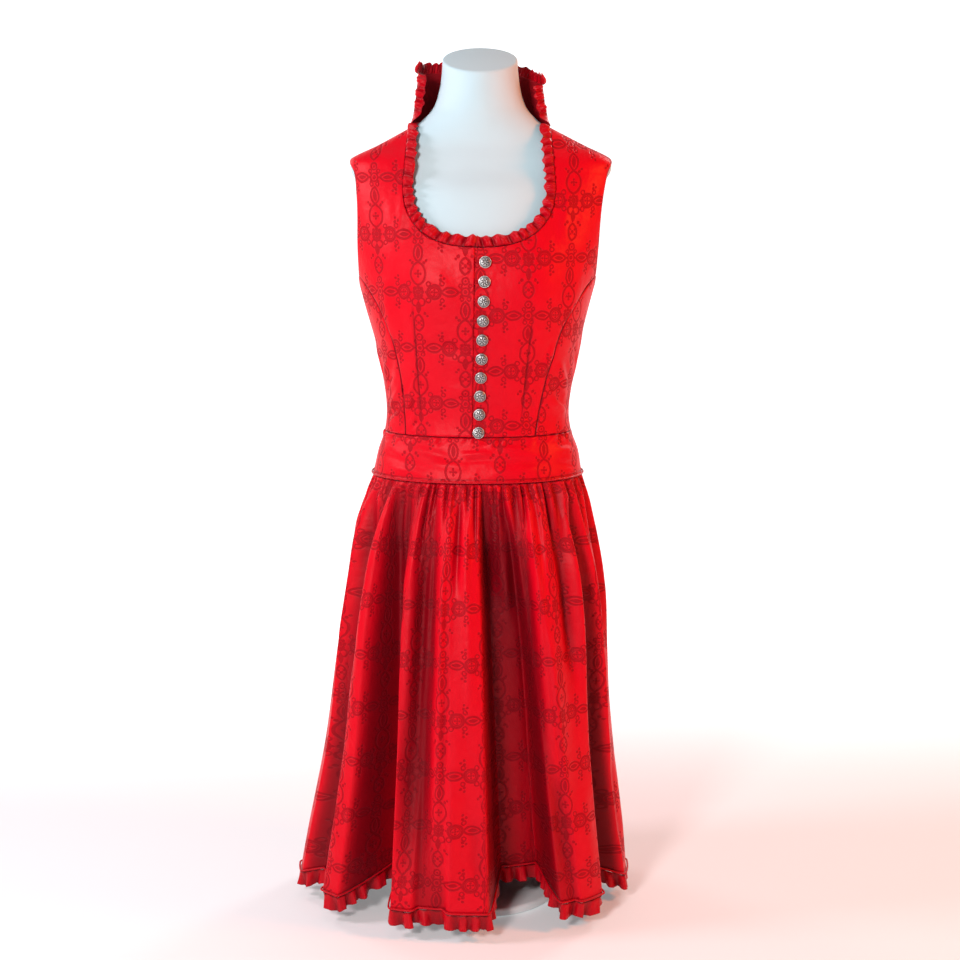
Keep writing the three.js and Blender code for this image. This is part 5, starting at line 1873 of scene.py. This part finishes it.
@dataclass
class DressForm:
    """Plain limbless form with an open-shouldered torso, a capped neck, a pole and a round base."""

    finishes: Finishes
    columns: int = 120
    inset: float = 4.6
    shoulder_inset: float = 5.3
    shoulder_front: float = 13.0
    neck_front: float = 6.0
    neck_rise: float = 21.0
    shoulder_back: float = 22.0
    hip_inset: float = 14.0
    armhole_limit: float = 160.0
    shoulder_limit: float = 200.0
    pole_radius: float = 15.0
    base_radius: float = 112.0
    foot_z: float = 535.0
    boss_top: float = 30.0
    turned_sides: int = 96

    def section(self, z: float) -> tuple[float, float, float, float, float]:
        """Half widths, depths and squareness of the form under the cloth at height z."""
        left, right, front, back, square = BODY_SECTIONS.at(np.array(z))
        shoulder = float(ease((z - (SHOULDER_TIP - 46)) / 36))
        hip = float(ease((BAND_TOP - z) / (BAND_TOP - 590))) * self.hip_inset
        side = lerp(self.inset, self.shoulder_inset, shoulder) + hip
        limit = lerp(self.armhole_limit, self.shoulder_limit, shoulder)
        neck = float(ease((z - NECK_POINT + self.neck_rise) / self.neck_rise))
        front_inset = lerp(self.shoulder_front, self.neck_front, neck)
        return (
            min(left - side, limit),
            min(right - side, limit),
            front - lerp(self.inset, front_inset, shoulder) - hip,
            back - lerp(self.inset, self.shoulder_back, shoulder) - hip,
            square,
        )

    def torso(self) -> None:
        """Torso and neck in one smooth shell, its neck cut off at a slant."""
        foot = self.section(590.0)
        rows: list[tuple[float, ...]] = []
        for z, scale in ((535, 0.8), (541, 0.9), (556, 0.97)):
            rows.append((z, *(value * scale for value in foot[:4]), foot[4], 0.0))
        for z in (590, 630, 676, 706, 745, 785, 825, 860, 895, 930, 970, 1005, 1030, 1046, 1066, 1087):
            rows.append((z, *self.section(float(z)), 0.0))
        rows += [
            (1101, 76, 76, 42, 58, 2, 0.0),
            (1116, 63, 63, 42, 54, 2, 0.08),
            (1140, 55, 55, 44, 50, 2, 0.2),
            (1165, 51.5, 51.5, 46, 47, 2, 0.34),
            (1177, 51, 51, 47, 46, 2, 0.42),
        ]
        table = Sections(tuple(rows))
        levels = np.concatenate([np.linspace(535, 590, 14), np.linspace(594, 1177, 110)])
        values = table.at(levels)
        angles = np.linspace(0, FULL_TURN, self.columns, endpoint=False)
        angle, z = np.meshgrid(angles, levels)
        points = table_outline(values, angle, z)
        # The cap's edge is rounded off over the last rings.
        rings = [points]
        cap = values[-1]
        for turn in np.radians((18, 36, 54, 72, 90)):
            inset, rise = 2.5 * (1 - math.cos(turn)), 3.0 * math.sin(turn)
            row = cap.copy()
            row[:4] -= inset
            rings.append(table_outline(row[None], angles[None], np.array([[1177 + rise]])))
        grid = np.concatenate(rings)
        piece = make_mesh("shell_form_torso", *close_ends(grid), [self.finishes.shell])
        dress(piece, "form_torso")

    def build(self) -> None:
        """Builds the torso, the pole and the base."""
        self.torso()
        low, high = self.boss_top + SEAM, self.foot_z - SEAM
        pole = ((0.1, low), (self.pole_radius - 0.8, low), (self.pole_radius, low + 0.8),
                (self.pole_radius, high - 0.8), (self.pole_radius - 0.8, high), (0.1, high))
        self.turned("steel_form_pole", pole, self.finishes.steel, "form_pole", "pole_steel")
        edge = self.base_radius
        rim = [(edge - 4 + 4 * math.sin(a), 4 - 4 * math.cos(a)) for a in np.radians((0, 22, 45, 68, 90))]
        rim += [(edge - 4 + 4 * math.cos(a), 8 + 4 * math.sin(a)) for a in np.radians((0, 22, 45, 68, 90))]
        profile = (
            (0.1, 0.0), *rim, (60.0, 12.9), (29.0, 13.8), (26.0, 14.6), (24.6, 18.0),
            (22.9, 28.0), (22.0, 29.6), (20.8, self.boss_top), (0.1, self.boss_top),
        )
        self.turned("enamel_form_base", profile, self.finishes.enamel, "form_base", "base_enamel")

    def turned(
        self, name: str, profile: Sequence[tuple[float, float]], material: bpy.types.Material,
        node: str, slot: str,
    ) -> None:
        """Builds a turned piece.

        Args:
            name: Name of the piece.
            profile: Radius and height of each ring, from the bottom up.
            material: Its finish.
            node: Node that it replaces.
            slot: Its material slot; not used.
        """
        turn = np.linspace(0, FULL_TURN, self.turned_sides, endpoint=False)
        radius, height = np.array(profile).T
        grid = np.stack(
            [radius[:, None] * np.cos(turn), radius[:, None] * np.sin(turn), height[:, None] + 0 * turn], -1
        )
        dress(make_mesh(name, *close_ends(grid), [material]), node)


def table_outline(values: Array, angle: Array, z: Array) -> Array:
    """Leaning rings from columns of half widths, depths, squareness and lean, one row a ring."""
    *shape, lean = (column[..., None] for column in np.moveaxis(values, -1, 0))
    reach = outline_reach(angle, *shape)
    y = -reach * np.cos(angle)
    return np.stack(np.broadcast_arrays(reach * np.sin(angle), y, z + lean * y), -1)


def close_ends(grid: Array) -> tuple[Array, Array]:
    """Points and faces of a stack of rings, its ends closed by a middle point and a fan of triangles."""
    rings, columns = grid.shape[:2]
    faces = quads(rings, columns)
    points = np.concatenate([grid.reshape(-1, 3), [grid[0].mean(axis=0)], [grid[-1].mean(axis=0)]])
    first, last = np.arange(columns), (rings - 1) * columns + np.arange(columns)
    low, high = rings * columns, rings * columns + 1
    bottom = np.stack([np.roll(first, -1), first, 0 * first + low, 0 * first + low], -1)
    top = np.stack([last, np.roll(last, -1), 0 * last + high, 0 * last + high], -1)
    return points, np.concatenate([faces, bottom, top])


# --- Studio -------------------------------------------------------------------------------------


# Name, place in metres, size in metres, power in watts and colour.
LIGHTS = (
    ("cool_side", (-1.9, -0.3, 1.65), 0.5, 26, "#ffe6ee"),
    ("front_key", (-0.8, -2.15, 1.35), 0.4, 45, "#fff3f3"),
    ("warm_side", (1.8, -0.45, 1.5), 0.5, 34, "#ff7d3c"),
    ("top_soft", (0.0, 0.2, 2.8), 1.4, 8, "#ffffff"),
    ("back_left", (1.5, 2.0, 2.0), 0.6, 22, "#fff4f2"),
    ("back_right", (-1.7, 1.6, 1.7), 0.6, 15, "#ffecec"),
)


@dataclass
class Studio:
    """Camera, pale floor and backdrop, and soft lights: cool ones on the left, a warm one on the right."""

    camera_y: float = -2.4
    camera_z: float = 0.9899
    pitch: float = 9.16  # degrees down
    lens: float = 64.8
    sensor: float = 36.0
    sky: str = "#f4f5f8"
    sky_strength: float = 0.06
    aim_height: float = 0.62  # metres; the lights point there
    floor_z: float = -0.5  # millimetres, like the rest of the backdrop's measures
    bend: float = 1500.0
    near_y: float = -6500.0
    far_y: float = 8000.0
    top_z: float = 6500.0
    half_width: float = 8000.0

    def light(self, name: str, place: Sequence[float], size: float, power: float, colour: str) -> None:
        """Adds a square area light aimed at the dress's middle."""
        data = bpy.data.lights.new(name, "AREA")
        data.shape, data.size, data.energy = "SQUARE", size, power
        data.color = linear(colour)[:3]
        lamp = bpy.data.objects.new(name, data)
        bpy.context.scene.collection.objects.link(lamp)
        lamp.location = place
        aim = np.array([0.0, 0.0, self.aim_height]) - np.array(place)
        lamp.rotation_euler = (
            math.atan2(math.hypot(aim[0], aim[1]), -aim[2]), 0.0, math.atan2(-aim[0], aim[1])
        )

    def build(self) -> None:
        """Builds the studio."""
        data = bpy.data.cameras.new("camera")
        data.lens, data.sensor_width = self.lens, self.sensor
        camera = bpy.data.objects.new("camera", data)
        bpy.context.scene.collection.objects.link(camera)
        camera.location = (0.0, self.camera_y, self.camera_z)
        camera.rotation_euler = (math.radians(90 - self.pitch), 0.0, 0.0)
        bpy.context.scene.camera = camera

        world = bpy.data.worlds.new("studio")
        world.use_nodes = True
        background = world.node_tree.nodes["Background"]
        background.inputs[0].default_value = linear(self.sky)
        background.inputs[1].default_value = self.sky_strength
        bpy.context.scene.world = world
        bpy.context.scene.view_settings.view_transform = "Standard"

        for name, place, size, power, colour in LIGHTS:
            self.light(name, place, size, power, colour)
        self.backdrop()

    def backdrop(self) -> None:
        """Pale floor that curves up into a backdrop."""
        start, low = self.far_y - self.bend, self.floor_z
        profile = [(self.near_y, low), (start, low)]
        for a in np.linspace(0, RIGHT_ANGLE, 24)[1:]:
            profile.append((start + self.bend * math.sin(a), low + self.bend * (1 - math.cos(a))))
        profile.append((self.far_y, self.top_z))
        rows = np.array(profile)
        across = np.linspace(-self.half_width, self.half_width, 3)
        x, y = np.meshgrid(across, rows[:, 0])
        z = np.broadcast_to(rows[:, 1:2], x.shape)
        faces = quads(*x.shape, ring=False)
        paper = LitPaper().build()
        floor = make_mesh("studio_floor", np.stack([x, y, z], -1).reshape(-1, 3), faces, [paper])


def main() -> None:
    """Builds the dirndl, the form and the studio."""
    logging.basicConfig(level=logging.INFO, format="%(name)s %(message)s")
    Studio().build()
    finishes = Finishes()
    bodice = Bodice(finishes)
    bodice.build()
    Collar(finishes, bodice).build()
    Waistband(finishes, bodice).build()
    Skirt(finishes).build()
    ButtonRow(finishes, bodice).build()
    DressForm(finishes).build()


if __name__ == "__main__":
    main()
